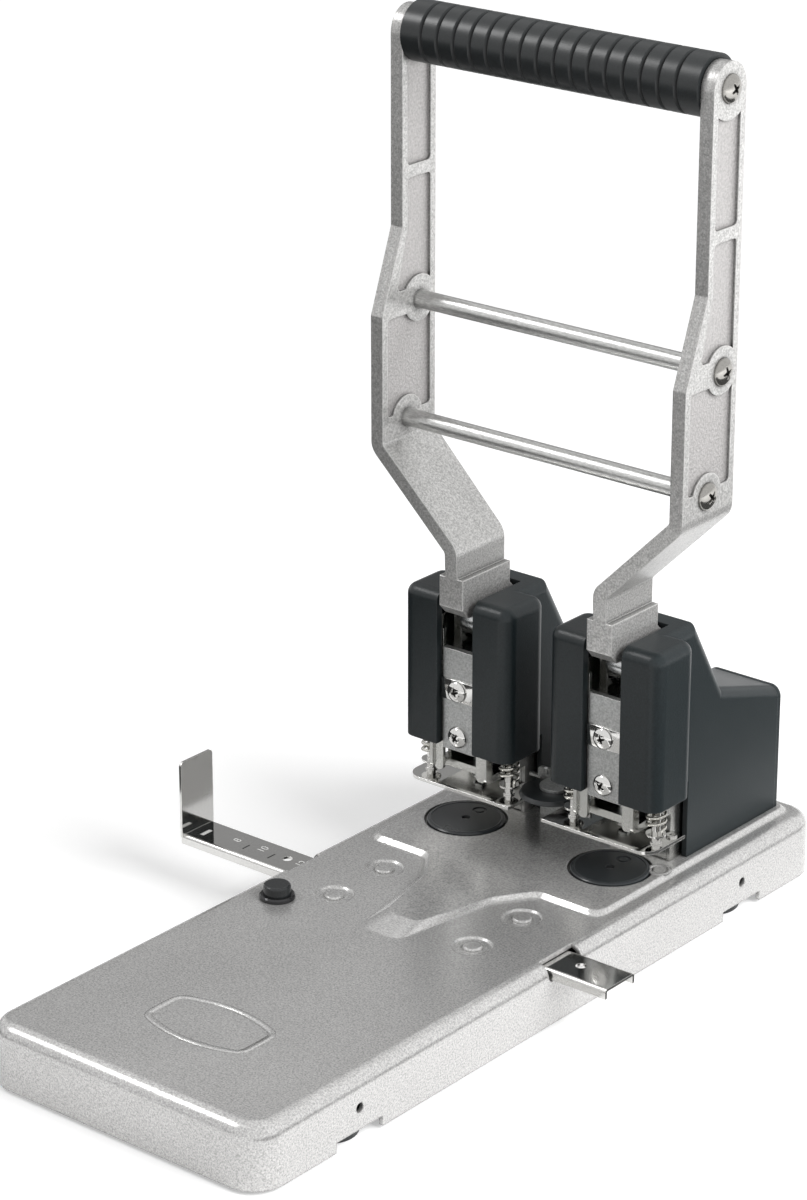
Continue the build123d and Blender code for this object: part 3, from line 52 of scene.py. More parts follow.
# ------------------------------------------------------------------ camera
AZIMUTH = radians(39.505)
PITCH = radians(21.690)
EYE = Vector((921.03, -1131.08, 750.67)) * MM
LENS = 114.30
SENSOR = 36.0
look = Vector((-sin(AZIMUTH) * cos(PITCH), cos(AZIMUTH) * cos(PITCH), -sin(PITCH)))
eye_data = bpy.data.cameras.new("photo_camera")
eye_data.sensor_fit = "VERTICAL"
eye_data.sensor_height = SENSOR
eye_data.lens = LENS
eye_data.clip_end = 50.0
eye = bpy.data.objects.new("photo_camera", eye_data)
eye.location = EYE
eye.rotation_euler = look.to_track_quat("-Z", "Y").to_euler()
bpy.context.scene.collection.objects.link(eye)
bpy.context.scene.camera = eye
bpy.context.scene.view_settings.view_transform = "Standard"


# ------------------------------------------------------------------ node helpers
def wire(tree, source, target):
    """Link two sockets given as (node, socket name or index)."""
    tree.links.new(source[0].outputs[source[1]], target[0].inputs[target[1]])


def new_material(name):
    """Empty node material with a Principled shader and object coordinates."""
    mat = bpy.data.materials.new(name)
    mat.use_nodes = True
    tree = mat.node_tree
    tree.nodes.clear()
    out = tree.nodes.new("ShaderNodeOutputMaterial")
    shader = tree.nodes.new("ShaderNodeBsdfPrincipled")
    wire(tree, (shader, "BSDF"), (out, "Surface"))
    coords = tree.nodes.new("ShaderNodeTexCoord")
    return mat, tree, shader, coords


def noise(tree, coords, scale, detail=2.0, stretch=(1, 1, 1), rough=0.6):
    """Noise over object coordinates; scale is in features per metre."""
    mapping = tree.nodes.new("ShaderNodeMapping")
    mapping.inputs["Scale"].default_value = stretch
    wire(tree, (coords, "Object"), (mapping, "Vector"))
    tex = tree.nodes.new("ShaderNodeTexNoise")
    tex.inputs["Scale"].default_value = scale
    tex.inputs["Detail"].default_value = detail
    tex.inputs["Roughness"].default_value = rough
    wire(tree, (mapping, "Vector"), (tex, "Vector"))
    return tex


def span(tree, source, low, high, from_low=0.3, from_high=0.7):
    """Map a texture's middle range on to a range of values."""
    node = tree.nodes.new("ShaderNodeMapRange")
    node.inputs["From Min"].default_value = from_low
    node.inputs["From Max"].default_value = from_high
    node.inputs["To Min"].default_value = low
    node.inputs["To Max"].default_value = high
    wire(tree, source, (node, "Value"))
    return node


def ramp(tree, source, stops):
    """Colour ramp from a list of (position, colour)."""
    node = tree.nodes.new("ShaderNodeValToRGB")
    while len(node.color_ramp.elements) < len(stops):
        node.color_ramp.elements.new(0.5)
    for element, (place, colour) in zip(node.color_ramp.elements, stops):
        element.position = place
        element.color = (*colour, 1.0)
    wire(tree, source, (node, "Fac"))
    return node


def math_node(tree, operation, *inputs):
    """Math node whose inputs are numbers or (node, socket) pairs."""
    node = tree.nodes.new("ShaderNodeMath")
    node.operation = operation
    for index, value in enumerate(inputs):
        if isinstance(value, tuple):
            wire(tree, value, (node, index))
        else:
            node.inputs[index].default_value = value
    return node


def scaled(tree, vector, factor):
    """A colour times a number, both given as (node, socket) pairs; returns such a pair."""
    node = tree.nodes.new("ShaderNodeVectorMath")
    node.operation = "SCALE"
    wire(tree, vector, (node, 0))
    wire(tree, factor, (node, "Scale"))
    return node, "Vector"


def seen_by(tree, rays):
    """1 for the given kinds of ray and 0 for all others, as a (node, socket) pair."""
    path = tree.nodes.new("ShaderNodeLightPath")
    seen = (path, rays[0])
    for ray in rays[1:]:
        seen = (math_node(tree, "MAXIMUM", seen, (path, ray)), "Value")
    return seen


def mixed(tree, factor, first, second):
    """Colour mix; second is a colour or a (node, socket) pair."""
    node = tree.nodes.new("ShaderNodeMix")
    node.data_type = "RGBA"
    wire(tree, factor, (node, "Factor"))
    wire(tree, first, (node, "A"))
    if isinstance(second[0], (int, float)):
        node.inputs["B"].default_value = (*second, 1.0)
    else:
        wire(tree, second, (node, "B"))
    return node


def shade(colour, factor):
    """A lighter or darker version of a colour."""
    return tuple(min(1.0, c * factor) for c in colour)


LEAST_ROUGHNESS = 0.02
GLOSS_DRIFT = 0.03             # either side of a surface's roughness
HOLLOW_ROUGHER = 0.6           # roughness added in the deepest corners
FLOOR_TOLERANCE = 0.0002       # metres either side of a pocket's floor
POCKETS_ABOVE = 0.2            # metres; there are no cast pockets below this height


def finish_of(name, colour, metallic, rough, grain=2200, speck=0.12, stretch=(1, 1, 1), bump=0.15,
              depth=0.00004, coat=0.0, coat_rough=0.2, cloud=18, spec=0.5, round_edge=0.0004,
              edge=None, coarse=None, drift=0.03, hollow_shade=None):
    """Surface with a fine grain, slow drift of tint and gloss, soft edges and a shallow bump.

    edge is the colour of a painted highlight along rounded edges; coarse is (abs x places, grain, depth,
    tint) for the floors of cast pockets; the hollow shade is (reach, share of the colour left in the deepest
    corners), painted shade that darkens corners and recesses and makes them rougher.
    """
    mat, tree, shader, coords = new_material(name)
    shader.inputs["Metallic"].default_value = metallic
    shader.inputs["Specular IOR Level"].default_value = spec
    if coat:
        shader.inputs["Coat Weight"].default_value = coat
        shader.inputs["Coat Roughness"].default_value = coat_rough
    fine = noise(tree, coords, grain, 2.0, stretch)
    tint = ramp(tree, (fine, "Fac"), [(0.32, shade(colour, 1 - speck)), (0.5, colour),
                                      (0.68, shade(colour, 1 + speck))])
    slow = noise(tree, coords, cloud, 4.0)
    haze = span(tree, (slow, "Fac"), 1 - drift, 1 + drift)
    surface = scaled(tree, (tint, "Color"), (haze, "Result"))
    glossiest = max(LEAST_ROUGHNESS, rough - GLOSS_DRIFT)
    gloss = (span(tree, (slow, "Fac"), glossiest, rough + GLOSS_DRIFT), "Result")
    # painted shade: ambient occlusion darkens the colour in corners and recesses, and roughens them
    if hollow_shade:
        reach, left = hollow_shade
        hollow = tree.nodes.new("ShaderNodeAmbientOcclusion")
        hollow.samples = 6
        hollow.inputs["Distance"].default_value = reach
        painted_shade_factor = (span(tree, (hollow, "AO"), left, 1.0, 0.35, 0.95), "Result")
        surface = scaled(tree, surface, painted_shade_factor)
        closed = math_node(tree, "SUBTRACT", 1.0, painted_shade_factor)
        gloss = (math_node(tree, "MULTIPLY_ADD", (closed, "Value"), HOLLOW_ROUGHER, gloss), "Value")
    wire(tree, gloss, (shader, "Roughness"))
    soft = tree.nodes.new("ShaderNodeBevel")
    soft.samples = 4
    soft.inputs["Radius"].default_value = round_edge
    # painted highlight: the colour turns to the edge colour where the rounded normal leaves the flat one
    if edge:
        plain = tree.nodes.new("ShaderNodeNewGeometry")
        agree = tree.nodes.new("ShaderNodeVectorMath")
        agree.operation = "DOT_PRODUCT"
        wire(tree, (soft, "Normal"), (agree, 0))
        wire(tree, (plain, "Normal"), (agree, 1))
        edge_highlight = span(tree, (agree, "Value"), 0.8, 0.0, 0.90, 0.995)
        surface = (mixed(tree, (edge_highlight, "Result"), surface, edge), "Result")
    relief = tree.nodes.new("ShaderNodeBump")
    relief.inputs["Strength"].default_value = bump
    relief.inputs["Distance"].default_value = depth
    wire(tree, (fine, "Fac"), (relief, "Height"))
    wire(tree, (soft, "Normal"), (relief, "Normal"))
    normal = (relief, "Normal")
    if coarse:
        places, scale, deep, floor_tint = coarse
        split = tree.nodes.new("ShaderNodeSeparateXYZ")
        wire(tree, (coords, "Object"), (split, "Vector"))
        away = math_node(tree, "ABSOLUTE", (split, "X"))
        hits = [math_node(tree, "COMPARE", (away, "Value"), place, FLOOR_TOLERANCE) for place in places]
        inside = math_node(tree, "MAXIMUM", (hits[0], "Value"), (hits[1], "Value"))
        high = math_node(tree, "GREATER_THAN", (split, "Z"), POCKETS_ABOVE)
        inside = math_node(tree, "MULTIPLY", (inside, "Value"), (high, "Value"))
        pebble = noise(tree, coords, scale, 3.0)
        height = math_node(tree, "MULTIPLY", (pebble, "Fac"), (inside, "Value"))
        rough_floor = tree.nodes.new("ShaderNodeBump")
        rough_floor.inputs["Strength"].default_value = 0.9
        rough_floor.inputs["Distance"].default_value = deep
        wire(tree, (height, "Value"), (rough_floor, "Height"))
        wire(tree, normal, (rough_floor, "Normal"))
        normal = (rough_floor, "Normal")
        floor_colour = ramp(tree, (pebble, "Fac"), [(0.35, shade(floor_tint, 0.72)), (0.65, floor_tint)])
        surface = (mixed(tree, (inside, "Value"), surface, (floor_colour, "Color")), "Result")
    wire(tree, surface, (shader, "Base Color"))
    wire(tree, normal, (shader, "Normal"))
    return mat


# ------------------------------------------------------------------ finishes
COOL_BLACK = (0.0095, 0.0142, 0.0160)
# several finishes below darken their colour in corners and recesses, a painted shade
silver_paint = finish_of("silver_paint", (0.55, 0.546, 0.538), 0.65, 0.23, 1350, 0.30, bump=0.3, coat=0.1,
                         coat_rough=0.25, round_edge=0.0012, hollow_shade=(0.0025, 0.55))
# the edge colours below are painted highlights along rounded edges
lever_paint = finish_of("lever_paint", (0.48, 0.476, 0.468), 0.60, 0.33, 1200, 0.32, bump=0.7, depth=0.00007,
                        coat=0.1, round_edge=0.0008, edge=(0.76, 0.755, 0.74),
                        coarse=((0.0812, 0.0778), 900, 0.0003, (0.52, 0.505, 0.50)), hollow_shade=(0.0034, 0.16))
cover_black = finish_of("cover_black", COOL_BLACK, 0.0, 0.36, 1500, 0.30, bump=0.8, depth=0.00009,
                        spec=0.42, round_edge=0.0005, edge=(0.045, 0.053, 0.056), hollow_shade=(0.003, 0.4))
rubber_black = finish_of("rubber_black", (0.014, 0.0165, 0.0175), 0.0, 0.34, 1500, 0.25, bump=0.5,
                         hollow_shade=(0.003, 0.2))
disc_black = finish_of("disc_black", (0.017, 0.020, 0.022), 0.0, 0.28, 2400, 0.18, bump=0.2,
                       edge=(0.05, 0.055, 0.06), hollow_shade=(0.001, 0.4))
button_black = finish_of("button_black", (0.014, 0.0155, 0.0165), 0.0, 0.20, 1500, 0.1, bump=0.1)
zinc = finish_of("zinc", (0.52, 0.52, 0.50), 1.0, 0.26, 900, 0.10, (6, 6, 0.4), 0.2)
plate_grey = finish_of("plate_grey", (0.42, 0.425, 0.42), 0.75, 0.36, 1100, 0.22, bump=0.35,
                       edge=(0.62, 0.62, 0.60))
rod_steel = finish_of("rod_steel", (0.56, 0.56, 0.55), 0.9, 0.32, 900, 0.18, (0.5, 2, 2), 0.5)
screw_steel = finish_of("screw_steel", (0.38, 0.37, 0.35), 1.0, 0.15, 1200, 0.06, bump=0.08,
                        round_edge=0.0003)
# dark collar round the lock button: painted shade of the hole that the button sits in
collar_painted_shade = finish_of("collar_painted_shade", (0.05, 0.05, 0.052), 0.8, 0.18, 1200, 0.06, bump=0.08)
chrome = finish_of("chrome", (0.66, 0.655, 0.64), 1.0, 0.08, 1200, 0.05, bump=0.05, round_edge=0.0003)
spring_wire = finish_of("spring_wire", (0.62, 0.61, 0.57), 1.0, 0.16, 1500, 0.10, bump=0.15)
tool_steel = finish_of("tool_steel", (0.52, 0.53, 0.53), 1.0, 0.20, 900, 0.08, (6, 6, 0.5), 0.2)
# dark colour for the screw recesses: painted shade in the recess
painted_recess_shade = finish_of("painted_recess_shade", (0.035, 0.034, 0.032), 0.8, 0.45, 1500, 0.3)
engraved = finish_of("engraved", (0.80, 0.80, 0.79), 0.3, 0.5, 3000, 0.15, bump=0.3)
tick_dark = finish_of("tick_dark", (0.05, 0.05, 0.05), 0.6, 0.4, 3000, 0.2, bump=0.2)

FINISH = {
    "shell_paint": silver_paint, "lever_paint": lever_paint, "black_plastic": cover_black,
    "black_rubber": rubber_black, "disc_plastic": disc_black, "button_plastic": button_black,
    "zinc_steel": zinc, "grey_steel": plate_grey, "chrome_plate": chrome,
    "spring_steel": spring_wire, "tool_steel": tool_steel,
}
OWN_FINISH = {
    "cross_rod_upper": rod_steel, "cross_rod_lower": rod_steel, "button_collar": collar_painted_shade,
    "guide_rivets": silver_paint,
}
slot_of = {part["node"]: part["material_slot"] for part in frame["record"]["subparts"]}
for name, obj in frame["nodes"].items():
    mat = OWN_FINISH.get(name, FINISH[slot_of[name]])
    for slot in obj.material_slots:
        slot.material = mat


# ------------------------------------------------------------------ mesh helpers
def piece(name, bm, body, mats, replaced=(), crease=35.0):
    """Turn a bmesh into a finished piece of the object."""
    mesh = bpy.data.meshes.new(name)
    bmesh.ops.recalc_face_normals(bm, faces=bm.faces)
    bm.to_mesh(mesh)
    bm.free()
    for face in mesh.polygons:
        face.use_smooth = True
    mesh.set_sharp_from_angle(angle=radians(crease))
    for mat in mats:
        mesh.materials.append(mat)
    obj = bpy.data.objects.new(name, mesh)
    bpy.context.scene.collection.objects.link(obj)
    if replaced:
        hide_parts(*replaced)
    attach(obj, body)
    return obj


def frame_of(out):
    """Two directions square to an axis."""
    up = Vector((0, 0, 1)) if abs(out.z) < 0.9 else Vector((0, 1, 0))
    side = up.cross(out).normalized()
    return side, out.cross(side)


def join_rings(bm, rings, mats=None):
    """Skin a list of vertex rings; a ring of one vertex closes an end; mats picks a face's material."""
    for a, b in zip(rings, rings[1:]):
        count = max(len(a), len(b))
        for i in range(count):
            j = (i + 1) % count
            if len(a) == 1:
                corners = (a[0], b[i], b[j])
            elif len(b) == 1:
                corners = (a[i], a[j], b[0])
            else:
                corners = (a[i], a[j], b[j], b[i])
            face = bm.faces.new(corners)
            if mats:
                face.material_index = mats(face)


def lathe(bm, base, out, profile, steps=48):
    """Turned form in millimetres: profile lists (distance along the axis, radius)."""
    base, out = Vector(base), Vector(out)
    side, up = frame_of(out)
    rings = []
    for along, radius in profile:
        if radius == 0:
            rings.append([bm.verts.new((base + out * along) * MM)])
            continue
        turns = [2 * pi * i / steps for i in range(steps)]
        rings.append([bm.verts.new((base + out * along + (side * cos(t) + up * sin(t)) * radius) * MM)
                      for t in turns])
    join_rings(bm, rings)


# pan heads with a cross recess
HEAD_RINGS = 36
HEAD_STEPS = 112
HEAD_EDGE = 0.5
CROSS_HALF = 0.47          # of the head's radius
CROSS_WIDTH = 0.105        # half a slot's width, of the head's radius
CROSS_DEPTH = 1.5
WIDE_AT_MIDDLE = 1.25      # slot's width at the middle, and how much it narrows to its end
NARROWS_BY = 0.5
END_SLOPE = 0.55           # share of a slot's length that slopes up
SIDE_SLOPE = 0.4           # share of its half-width that slopes up
RECESS_SHARE = 0.35        # mean dip in millimetres from which a face counts as recess


def cross_depth(u, v, radius):
    """Depth of the cross recess at a point of the head's face."""
    best = 0.0
    half = CROSS_HALF * radius
    for along, across in ((u, v), (v, u)):
        reach = half - abs(along)
        width = CROSS_WIDTH * radius * (WIDE_AT_MIDDLE - NARROWS_BY * abs(along) / half) - abs(across)
        if reach > 0 and width > 0:
            end = min(1.0, reach / (END_SLOPE * half))
            flank = min(1.0, width / (SIDE_SLOPE * CROSS_WIDTH * radius))
            best = max(best, end * flank)
    return best * CROSS_DEPTH


def pan_head(bm, base, out, radius, rise, turn):
    """Domed head whose recess dips into a fine polar grid; recess faces take the second material, a painted
    shade.
    """
    base, out = Vector(base), Vector(out)
    side, up = frame_of(out)
    dips = {}

    def point(r, t, height):
        u, v = r * cos(t - turn), r * sin(t - turn)
        dip = cross_depth(u, v, radius) if height is None else 0.0
        if height is None:
            height = HEAD_EDGE + (rise - HEAD_EDGE) * sqrt(max(0.0, 1 - (r / radius) ** 2)) - dip
        vert = bm.verts.new((base + out * height + (side * cos(t) + up * sin(t)) * r) * MM)
        dips[vert] = dip
        return vert

    turns = [2 * pi * i / HEAD_STEPS for i in range(HEAD_STEPS)]
    rings = [[point(0.0, 0.0, None)]]
    for ring in range(1, HEAD_RINGS + 1):
        r = radius * sin(pi / 2 * ring / HEAD_RINGS)
        rings.append([point(r, t, None) for t in turns])
    rings.append([point(radius, t, 0.0) for t in turns])
    rings.append([point(0.0, 0.0, 0.0)])
    join_rings(bm, rings, lambda face: int(sum(dips[v] for v in face.verts) > RECESS_SHARE * len(face.verts)))


def prism(bm, outline, axis_from, axis_to, place):
    """Straight solid over a closed outline; place(u, v, w) gives the point in millimetres."""
    rings = [[bm.verts.new(Vector(place(u, v, w)) * MM) for u, v in outline] for w in (axis_from, axis_to)]
    join_rings(bm, rings)
    bm.faces.new(rings[0])
    bm.faces.new(list(reversed(rings[1])))


def soften(bm, width, segments=2):
    """Round every sharp edge of a small block."""
    bmesh.ops.recalc_face_normals(bm, faces=bm.faces)
    sharp = [e for e in bm.edges if len(e.link_faces) == 2 and e.calc_face_angle() > radians(40)]
    bmesh.ops.bevel(bm, geom=sharp, offset=width * MM, segments=segments, profile=0.5, affect="EDGES")


# ------------------------------------------------------------------ screws of the lever's frame
ARM_OUTER = 82.8
ARM_INNER = 76.2
ARM_SCREWS = ((89.0, 381.8, 0.5), (89.5, 263.9, 0.25), (81.3, 212.3, 0.8))      # y, z, turn
ARM_HEAD_RADIUS, ARM_HEAD_RISE = 6.0, 3.0
SHANK_REACH = 10.0             # past the arm's inner face
SHANK_RADIUS, SHANK_TIP, SHANK_CHAMFER = 2.5, 2.0, 0.6
SEAT_GAP = 0.01
shank_length = SHANK_REACH + ARM_OUTER - ARM_INNER - SEAT_GAP
bm = bmesh.new()
for side in (-1, 1):
    out = Vector((side, 0, 0))
    for y, z, turn in ARM_SCREWS:
        pan_head(bm, (side * ARM_OUTER, y, z), out, ARM_HEAD_RADIUS, ARM_HEAD_RISE, turn)
        lathe(bm, (side * (ARM_INNER - SHANK_REACH), y, z), out,
              [(0, 0), (0, SHANK_TIP), (SHANK_CHAMFER, SHANK_RADIUS), (shank_length, SHANK_RADIUS),
               (shank_length, 0)])
piece("lever_screws", bm, "lever", (screw_steel, painted_recess_shade), ("arm_screws",))

# ------------------------------------------------------------------ screws of the punch carriers
PLATE_FACE_Y = 72.5
CARRIER_FRONT_Y = 75.5
WASHER = (9.0, 5.0, 0.8)      # half-width, half-height, thickness
WASHER_ROUNDING = 0.3
UPPER_Z, LOWER_Z = 95.0, 73.0
UPPER_REACH, LOWER_REACH = 7.5, 6.5
HEAD_RADIUS = 5.0
UPPER_RISE, LOWER_RISE = 2.6, 3.0
UPPER_TURN, LOWER_TURN = 0.35, 1.1
STEM_RADIUS, STEM_TIP, STEM_CHAMFER = 2.0, 1.5, 0.5
NUT_RADIUS, NUT_HEIGHT = 4.0, 2.5
TO_FRONT = Vector((0, -1, 0))
for side, x in HEADS.items():
    bm = bmesh.new()
    half, tall, thick = WASHER
    prism(bm, [(-half, -tall), (half, -tall), (half, tall), (-half, tall)],
          PLATE_FACE_Y - thick, PLATE_FACE_Y, lambda u, v, w: (x + u, w, UPPER_Z + v))
    soften(bm, WASHER_ROUNDING)
    pan_head(bm, (x, PLATE_FACE_Y - thick, UPPER_Z), TO_FRONT, HEAD_RADIUS, UPPER_RISE, UPPER_TURN)
    pan_head(bm, (x, PLATE_FACE_Y, LOWER_Z), TO_FRONT, HEAD_RADIUS, LOWER_RISE, LOWER_TURN)
    for z, reach in ((UPPER_Z, UPPER_REACH), (LOWER_Z, LOWER_REACH)):
        lathe(bm, (x, PLATE_FACE_Y + SEAT_GAP, z), -TO_FRONT,
              [(0, 0), (0, STEM_RADIUS), (reach - STEM_CHAMFER, STEM_RADIUS), (reach, STEM_TIP), (reach, 0)])
    hexagon = [(NUT_RADIUS * cos(pi / 3 * i), NUT_RADIUS * sin(pi / 3 * i)) for i in range(6)]
    prism(bm, hexagon, CARRIER_FRONT_Y, CARRIER_FRONT_Y + NUT_HEIGHT,
          lambda u, v, w: (x + u, w, LOWER_Z + v))
    piece(f"carrier_fixings_{side}", bm, f"carrier_{side}", (chrome, painted_recess_shade),
          (f"carrier_screws_{side}",))


# ------------------------------------------------------------------ raised lines and marks
def circle(x, y, radius, steps):
    """Closed clockwise loop round a point, in millimetres."""
    turns = [-2 * pi * i / steps for i in range(steps)]
    return [Vector((x + radius * cos(t), y + radius * sin(t))) for t in turns]


def smooth_loop(points, steps):
    """Closed Catmull-Rom curve through points."""
    count = len(points)
    loop = []
    for i in range(count):
        p0, p1, p2, p3 = (Vector(points[(i + k - 1) % count]) for k in range(4))
        for s in range(steps):
            t = s / steps
            loop.append(0.5 * (2 * p1 + (p2 - p0) * t + (2 * p0 - 5 * p1 + 4 * p2 - p3) * t * t
                               + (3 * p1 - p0 - 3 * p2 + p3) * t ** 3))
    return loop


def bead(bm, loop, z, profile):
    """Raised line along a closed loop on a level face; profile lists (offset outwards, height)."""
    count = len(loop)
    rings = []
    for offset, height in profile:
        ring = []
        for i, p in enumerate(loop):
            along = (loop[(i + 1) % count] - loop[i - 1]).normalized()
            outward = Vector((along.y, -along.x))
            q = p + outward * offset
            ring.append(bm.verts.new(Vector((q.x, q.y, z + height)) * MM))
        rings.append(ring)
    rings.append(rings[0])
    join_rings(bm, rings)


BASE_TOP = 29.5
PLATEAU_TOP = 31.5
LINE_CREASE = 80               # degrees, so that raised lines shade smoothly

# rim of the blank field: outline in quarters round (0, FIELD_Y), then profiles as (offset, height)
FIELD_Y = -135.8
FIELD_STEPS = 6
QUARTER = [(26.4, 0.0), (26.4, 4.5), (26.0, 8.0), (24.6, 10.3), (22.2, 11.8), (17.0, 13.5), (9.0, 15.3),
           (0.0, 16.0)]
HALF = QUARTER + [(-u, v) for u, v in reversed(QUARTER[:-1])]
FIELD = HALF + [(u, -v) for u, v in reversed(HALF[1:-1])]
SOFT_RIM = [(-1.5, -0.05), (-1.1, 0.04), (-0.5, 0.20), (0.0, 0.27), (0.6, 0.24), (1.3, 0.12), (2.2, 0.02),
            (2.6, -0.05)]
bm = bmesh.new()
field = smooth_loop([(u, FIELD_Y + v) for u, v in reversed(FIELD)], FIELD_STEPS)
bead(bm, field, BASE_TOP, SOFT_RIM)
piece("blank_field_rim", bm, "base", (silver_paint,), crease=LINE_CREASE)

# small ringed dimple to the right of the heads
DIMPLE_X, DIMPLE_Y, DIMPLE_RADIUS, DIMPLE_STEPS = 57.5, 90.4, 4.6, 48
DIMPLE_RIM = [(-1.2, -0.05), (-1.1, 0.03), (-0.4, 0.26), (0.2, 0.30), (0.9, 0.10), (1.6, -0.05)]
bm = bmesh.new()
bead(bm, circle(DIMPLE_X, DIMPLE_Y, DIMPLE_RADIUS, DIMPLE_STEPS), PLATEAU_TOP, DIMPLE_RIM)
piece("plateau_dimple_rim", bm, "base", (silver_paint,), crease=LINE_CREASE)

# thin lip of each cutting disc
DISC_Y, DISC_TOP, LIP_RADIUS, LIP_STEPS = 78.5, 32.0, 16.0, 96
LIP = [(-0.5, -0.05), (-0.4, 0.10), (0.0, 0.16), (0.4, 0.10), (0.5, -0.05)]
for side, x in HEADS.items():
    bm = bmesh.new()
    bead(bm, circle(x, DISC_Y, LIP_RADIUS, LIP_STEPS), DISC_TOP, LIP)
    piece(f"disc_lip_{side}", bm, f"disc_{side}", (disc_black,), crease=LINE_CREASE)

# ejector marks left by the casting on the arms' outer faces
CAST_MARKS = ((94.7, 212.8), (67.2, 213.3))      # y, z
CAST_PROFILE = [(-0.05, 2.3), (0.12, 2.2), (0.12, 1.7), (0.02, 1.6), (0.02, 0)]
CAST_STEPS = 32
bm = bmesh.new()
for side in (-1, 1):
    for y, z in CAST_MARKS:
        lathe(bm, (side * ARM_OUTER, y, z), (side, 0, 0), CAST_PROFILE, CAST_STEPS)
piece("arm_cast_marks", bm, "lever", (lever_paint,))

# ------------------------------------------------------------------ scale of the side stop
STRIP_TOP = 27.2
MARK_SINK, MARK_RISE = 0.02, 0.04
BARS = ((-125.6, -2.8, 3.4, 1.0), (-102.0, -2.0, 2.8, 0.35), (-87.2, -2.2, 2.9, 0.35))  # x, y, y, half-width
DARK_BARS_FROM = -110.0        # x from which a bar is a dark tick
FIGURES = (("8", -109.4, 3.2), ("10", -94.6, 3.4), ("12", -71.9, 3.0))      # plain numbers, x, y
FIGURE_SIZE, FIGURE_DEPTH = 5.5, 0.03
bm = bmesh.new()
for x, y0, y1, half in BARS:
    prism(bm, [(x - half, y0), (x + half, y0), (x + half, y1), (x - half, y1)],
          STRIP_TOP - MARK_SINK, STRIP_TOP + MARK_RISE, lambda u, v, w: (u, v, w))
for face in bm.faces:
    face.material_index = int(face.calc_center_median().x > DARK_BARS_FROM * MM)
for text, x, y in FIGURES:
    curve = bpy.data.curves.new("figure", "FONT")
    curve.body = text
    curve.size = FIGURE_SIZE * MM
    curve.align_x = "CENTER"
    curve.align_y = "CENTER"
    curve.extrude = FIGURE_DEPTH * MM
    writing = bpy.data.objects.new("figure", curve)
    bpy.context.scene.collection.objects.link(writing)
    writing.rotation_euler.z = pi / 2
    writing.location = Vector((x, y, STRIP_TOP + MARK_SINK)) * MM
    bpy.context.view_layer.update()
    shape = bpy.data.meshes.new_from_object(writing.evaluated_get(bpy.context.evaluated_depsgraph_get()))
    shape.transform(writing.matrix_world)
    bm.from_mesh(shape)
    bpy.data.objects.remove(writing)
    bpy.data.curves.remove(curve)
    bpy.data.meshes.remove(shape)
piece("stop_scale", bm, "side_stop_body", (engraved, tick_dark))


# ------------------------------------------------------------------ springs in meshes of their own, hung on their bodies
def coil(node, body):
    """Copy of a spring's wire in a mesh of its own, hung on a body in place of the part. Copy of a
    spring's wire that closes up towards its foot, by a length in millimetres at the limit.
    """
    mesh = frame["nodes"][node].data.copy()
    obj = bpy.data.objects.new(f"{node}_coil", mesh)
    bpy.context.scene.collection.objects.link(obj)
    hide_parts(node)
    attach(obj, body)
    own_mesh(obj)


for side in HEADS:
    coil(f"return_spring_{side}", "base")
    coil(f"stripper_springs_{side}", f"stripper_{side}")
coil("latch_spring", "base")


# ------------------------------------------------------------------ studio
SEEN_RAYS = ("Is Camera Ray", "Is Glossy Ray", "Is Transmission Ray")
FLOOR_SIDE = 24.0                                   # metres
FLOOR_NEAR, FLOOR_FAR = 1.0 / 24.0, 3.2 / 24.0      # of the floor's side
FLOOR_TONE = 0.74
FLOOR_GLOW_NEAR, FLOOR_GLOW_FAR = 0.42, 0.95
FLOOR_DROP = 0.0002                                 # metres under the rubber feet
CARD_TONE = 0.02
WORLD_LIGHT, WORLD_SEEN = 0.30, 1.0                 # on the object, and where it is seen
AIM = (0, 0.05, 0.15)                               # point that the lamps face


def glow_material(name, colour, lit, rays, far_lit=None):
    """Diffuse surface that also glows by a set amount for the given kinds of ray, more far away."""
    mat = bpy.data.materials.new(name)
    mat.use_nodes = True
    tree = mat.node_tree
    tree.nodes.clear()
    out = tree.nodes.new("ShaderNodeOutputMaterial")
    diffuse = tree.nodes.new("ShaderNodeBsdfDiffuse")
    coords = tree.nodes.new("ShaderNodeTexCoord")
    speckle = noise(tree, coords, 40, 2.0)
    pale = ramp(tree, (speckle, "Fac"), [(0.3, shade(colour, 0.985)), (0.7, shade(colour, 1.015))])
    wire(tree, (pale, "Color"), (diffuse, "Color"))
    glow = tree.nodes.new("ShaderNodeEmission")
    seen = seen_by(tree, rays)
    if far_lit:
        away = tree.nodes.new("ShaderNodeVectorMath")
        away.operation = "LENGTH"
        wire(tree, (coords, "Object"), (away, 0))
        lit = (span(tree, (away, "Value"), lit, far_lit, FLOOR_NEAR, FLOOR_FAR), "Result")
    wire(tree, (math_node(tree, "MULTIPLY", seen, lit), "Value"), (glow, "Strength"))
    both = tree.nodes.new("ShaderNodeAddShader")
    wire(tree, (diffuse, "BSDF"), (both, 0))
    wire(tree, (glow, "Emission"), (both, 1))
    wire(tree, (both, "Shader"), (out, "Surface"))
    return mat


def sheet(name, place, normal, size, mat):
    """Flat rectangle that belongs to the studio."""
    mesh = bpy.data.meshes.new(name)
    grid = bmesh.new()
    bmesh.ops.create_grid(grid, x_segments=8, y_segments=8, size=0.5)
    grid.to_mesh(mesh)
    grid.free()
    obj = bpy.data.objects.new(name, mesh)
    obj.scale = (size[0], size[1], 1.0)
    obj.location = place
    obj.rotation_euler = Vector(normal).to_track_quat("Z", "Y").to_euler()
    bpy.context.scene.collection.objects.link(obj)
    mesh.materials.append(mat)
    return obj


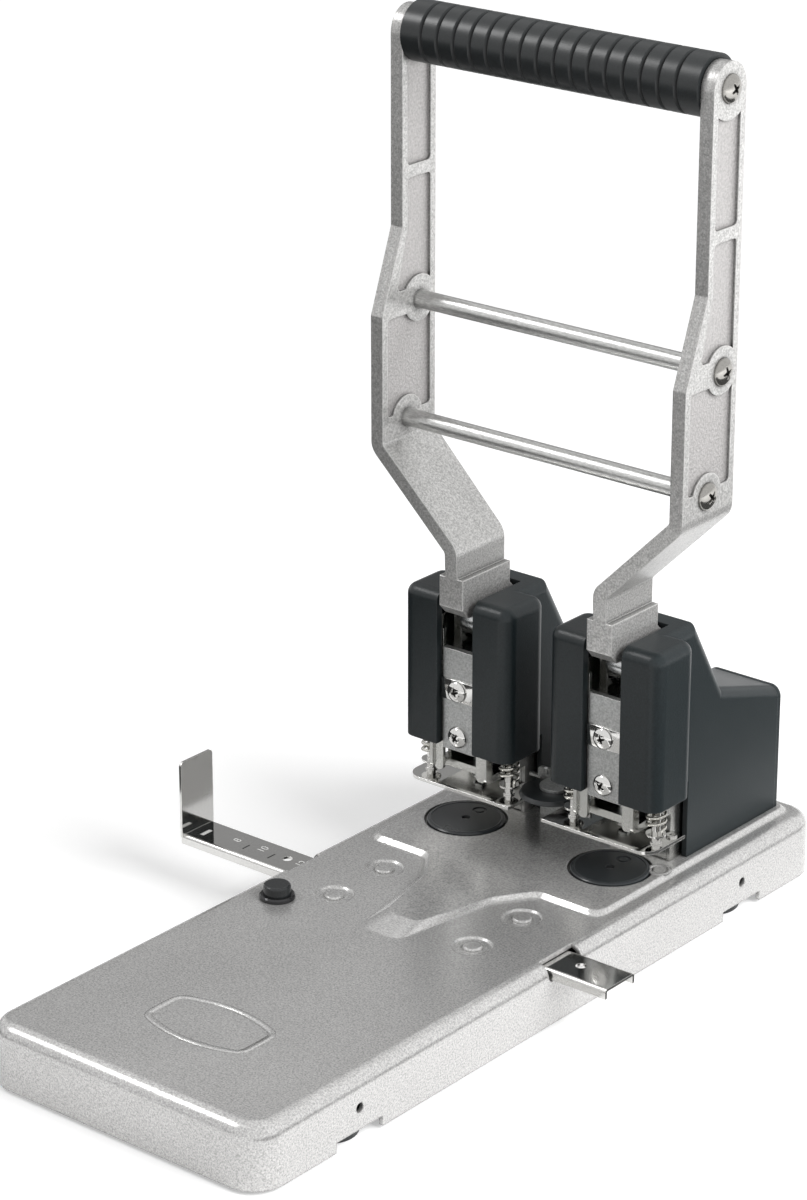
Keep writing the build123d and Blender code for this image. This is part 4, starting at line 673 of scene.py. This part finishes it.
floor_white = glow_material("floor_white", (FLOOR_TONE, FLOOR_TONE, FLOOR_TONE), FLOOR_GLOW_NEAR, SEEN_RAYS,
                            FLOOR_GLOW_FAR)
sheet("floor", (0, 0, -FLOOR_DROP), (0, 0, 1), (FLOOR_SIDE, FLOOR_SIDE), floor_white)

# grey and dark cards that only reflections see, so that plated tops and domes aren't blank white
for name, place, normal, size, glow in (
    ("card_back", (-1.55, 1.90, 0.98), (0.59, -0.72, -0.37), (2.8, 1.5), 0.34),
    ("card_left", (-0.95, -0.60, 0.003), (0.0, 0.0, 1.0), (1.5, 2.2), 0.03),
    ("card_right", (0.30, 0.17, 0.002), (0.0, 0.0, 1.0), (0.36, 0.9), 0.12),
):
    card_mat = glow_material(name, (CARD_TONE, CARD_TONE, CARD_TONE), glow, ("Is Glossy Ray",))
    card = sheet(name, place, normal, size, card_mat)
    card.visible_camera = False
    card.visible_diffuse = False
    card.visible_shadow = False
    card.visible_transmission = False

world = bpy.data.worlds.new("studio")
bpy.context.scene.world = world
world.use_nodes = True
tree = world.node_tree
tree.nodes.clear()
out = tree.nodes.new("ShaderNodeOutputWorld")
background = tree.nodes.new("ShaderNodeBackground")
level = span(tree, seen_by(tree, SEEN_RAYS), WORLD_LIGHT, WORLD_SEEN, 0.0, 1.0)
wire(tree, (level, "Result"), (background, "Strength"))
background.inputs["Color"].default_value = (1.0, 1.0, 1.0, 1.0)
wire(tree, (background, "Background"), (out, "Surface"))


def softbox(name, place, target, size, watts, mirrored=True):
    """Rectangular lamp aimed at a point; unless mirrored, no reflection shows it."""
    data = bpy.data.lights.new(name, "AREA")
    data.shape = "RECTANGLE"
    data.size, data.size_y = size
    data.energy = watts
    lamp = bpy.data.objects.new(name, data)
    lamp.location = place
    lamp.rotation_euler = (Vector(target) - Vector(place)).to_track_quat("-Z", "Y").to_euler()
    bpy.context.scene.collection.objects.link(lamp)
    lamp.visible_glossy = mirrored


softbox("key_right", (2.0, 0.35, 1.5), AIM, (2.0, 1.6), 92, mirrored=False)
softbox("rim_left", (-1.2, -0.75, 1.6), AIM, (0.5, 0.5), 9)
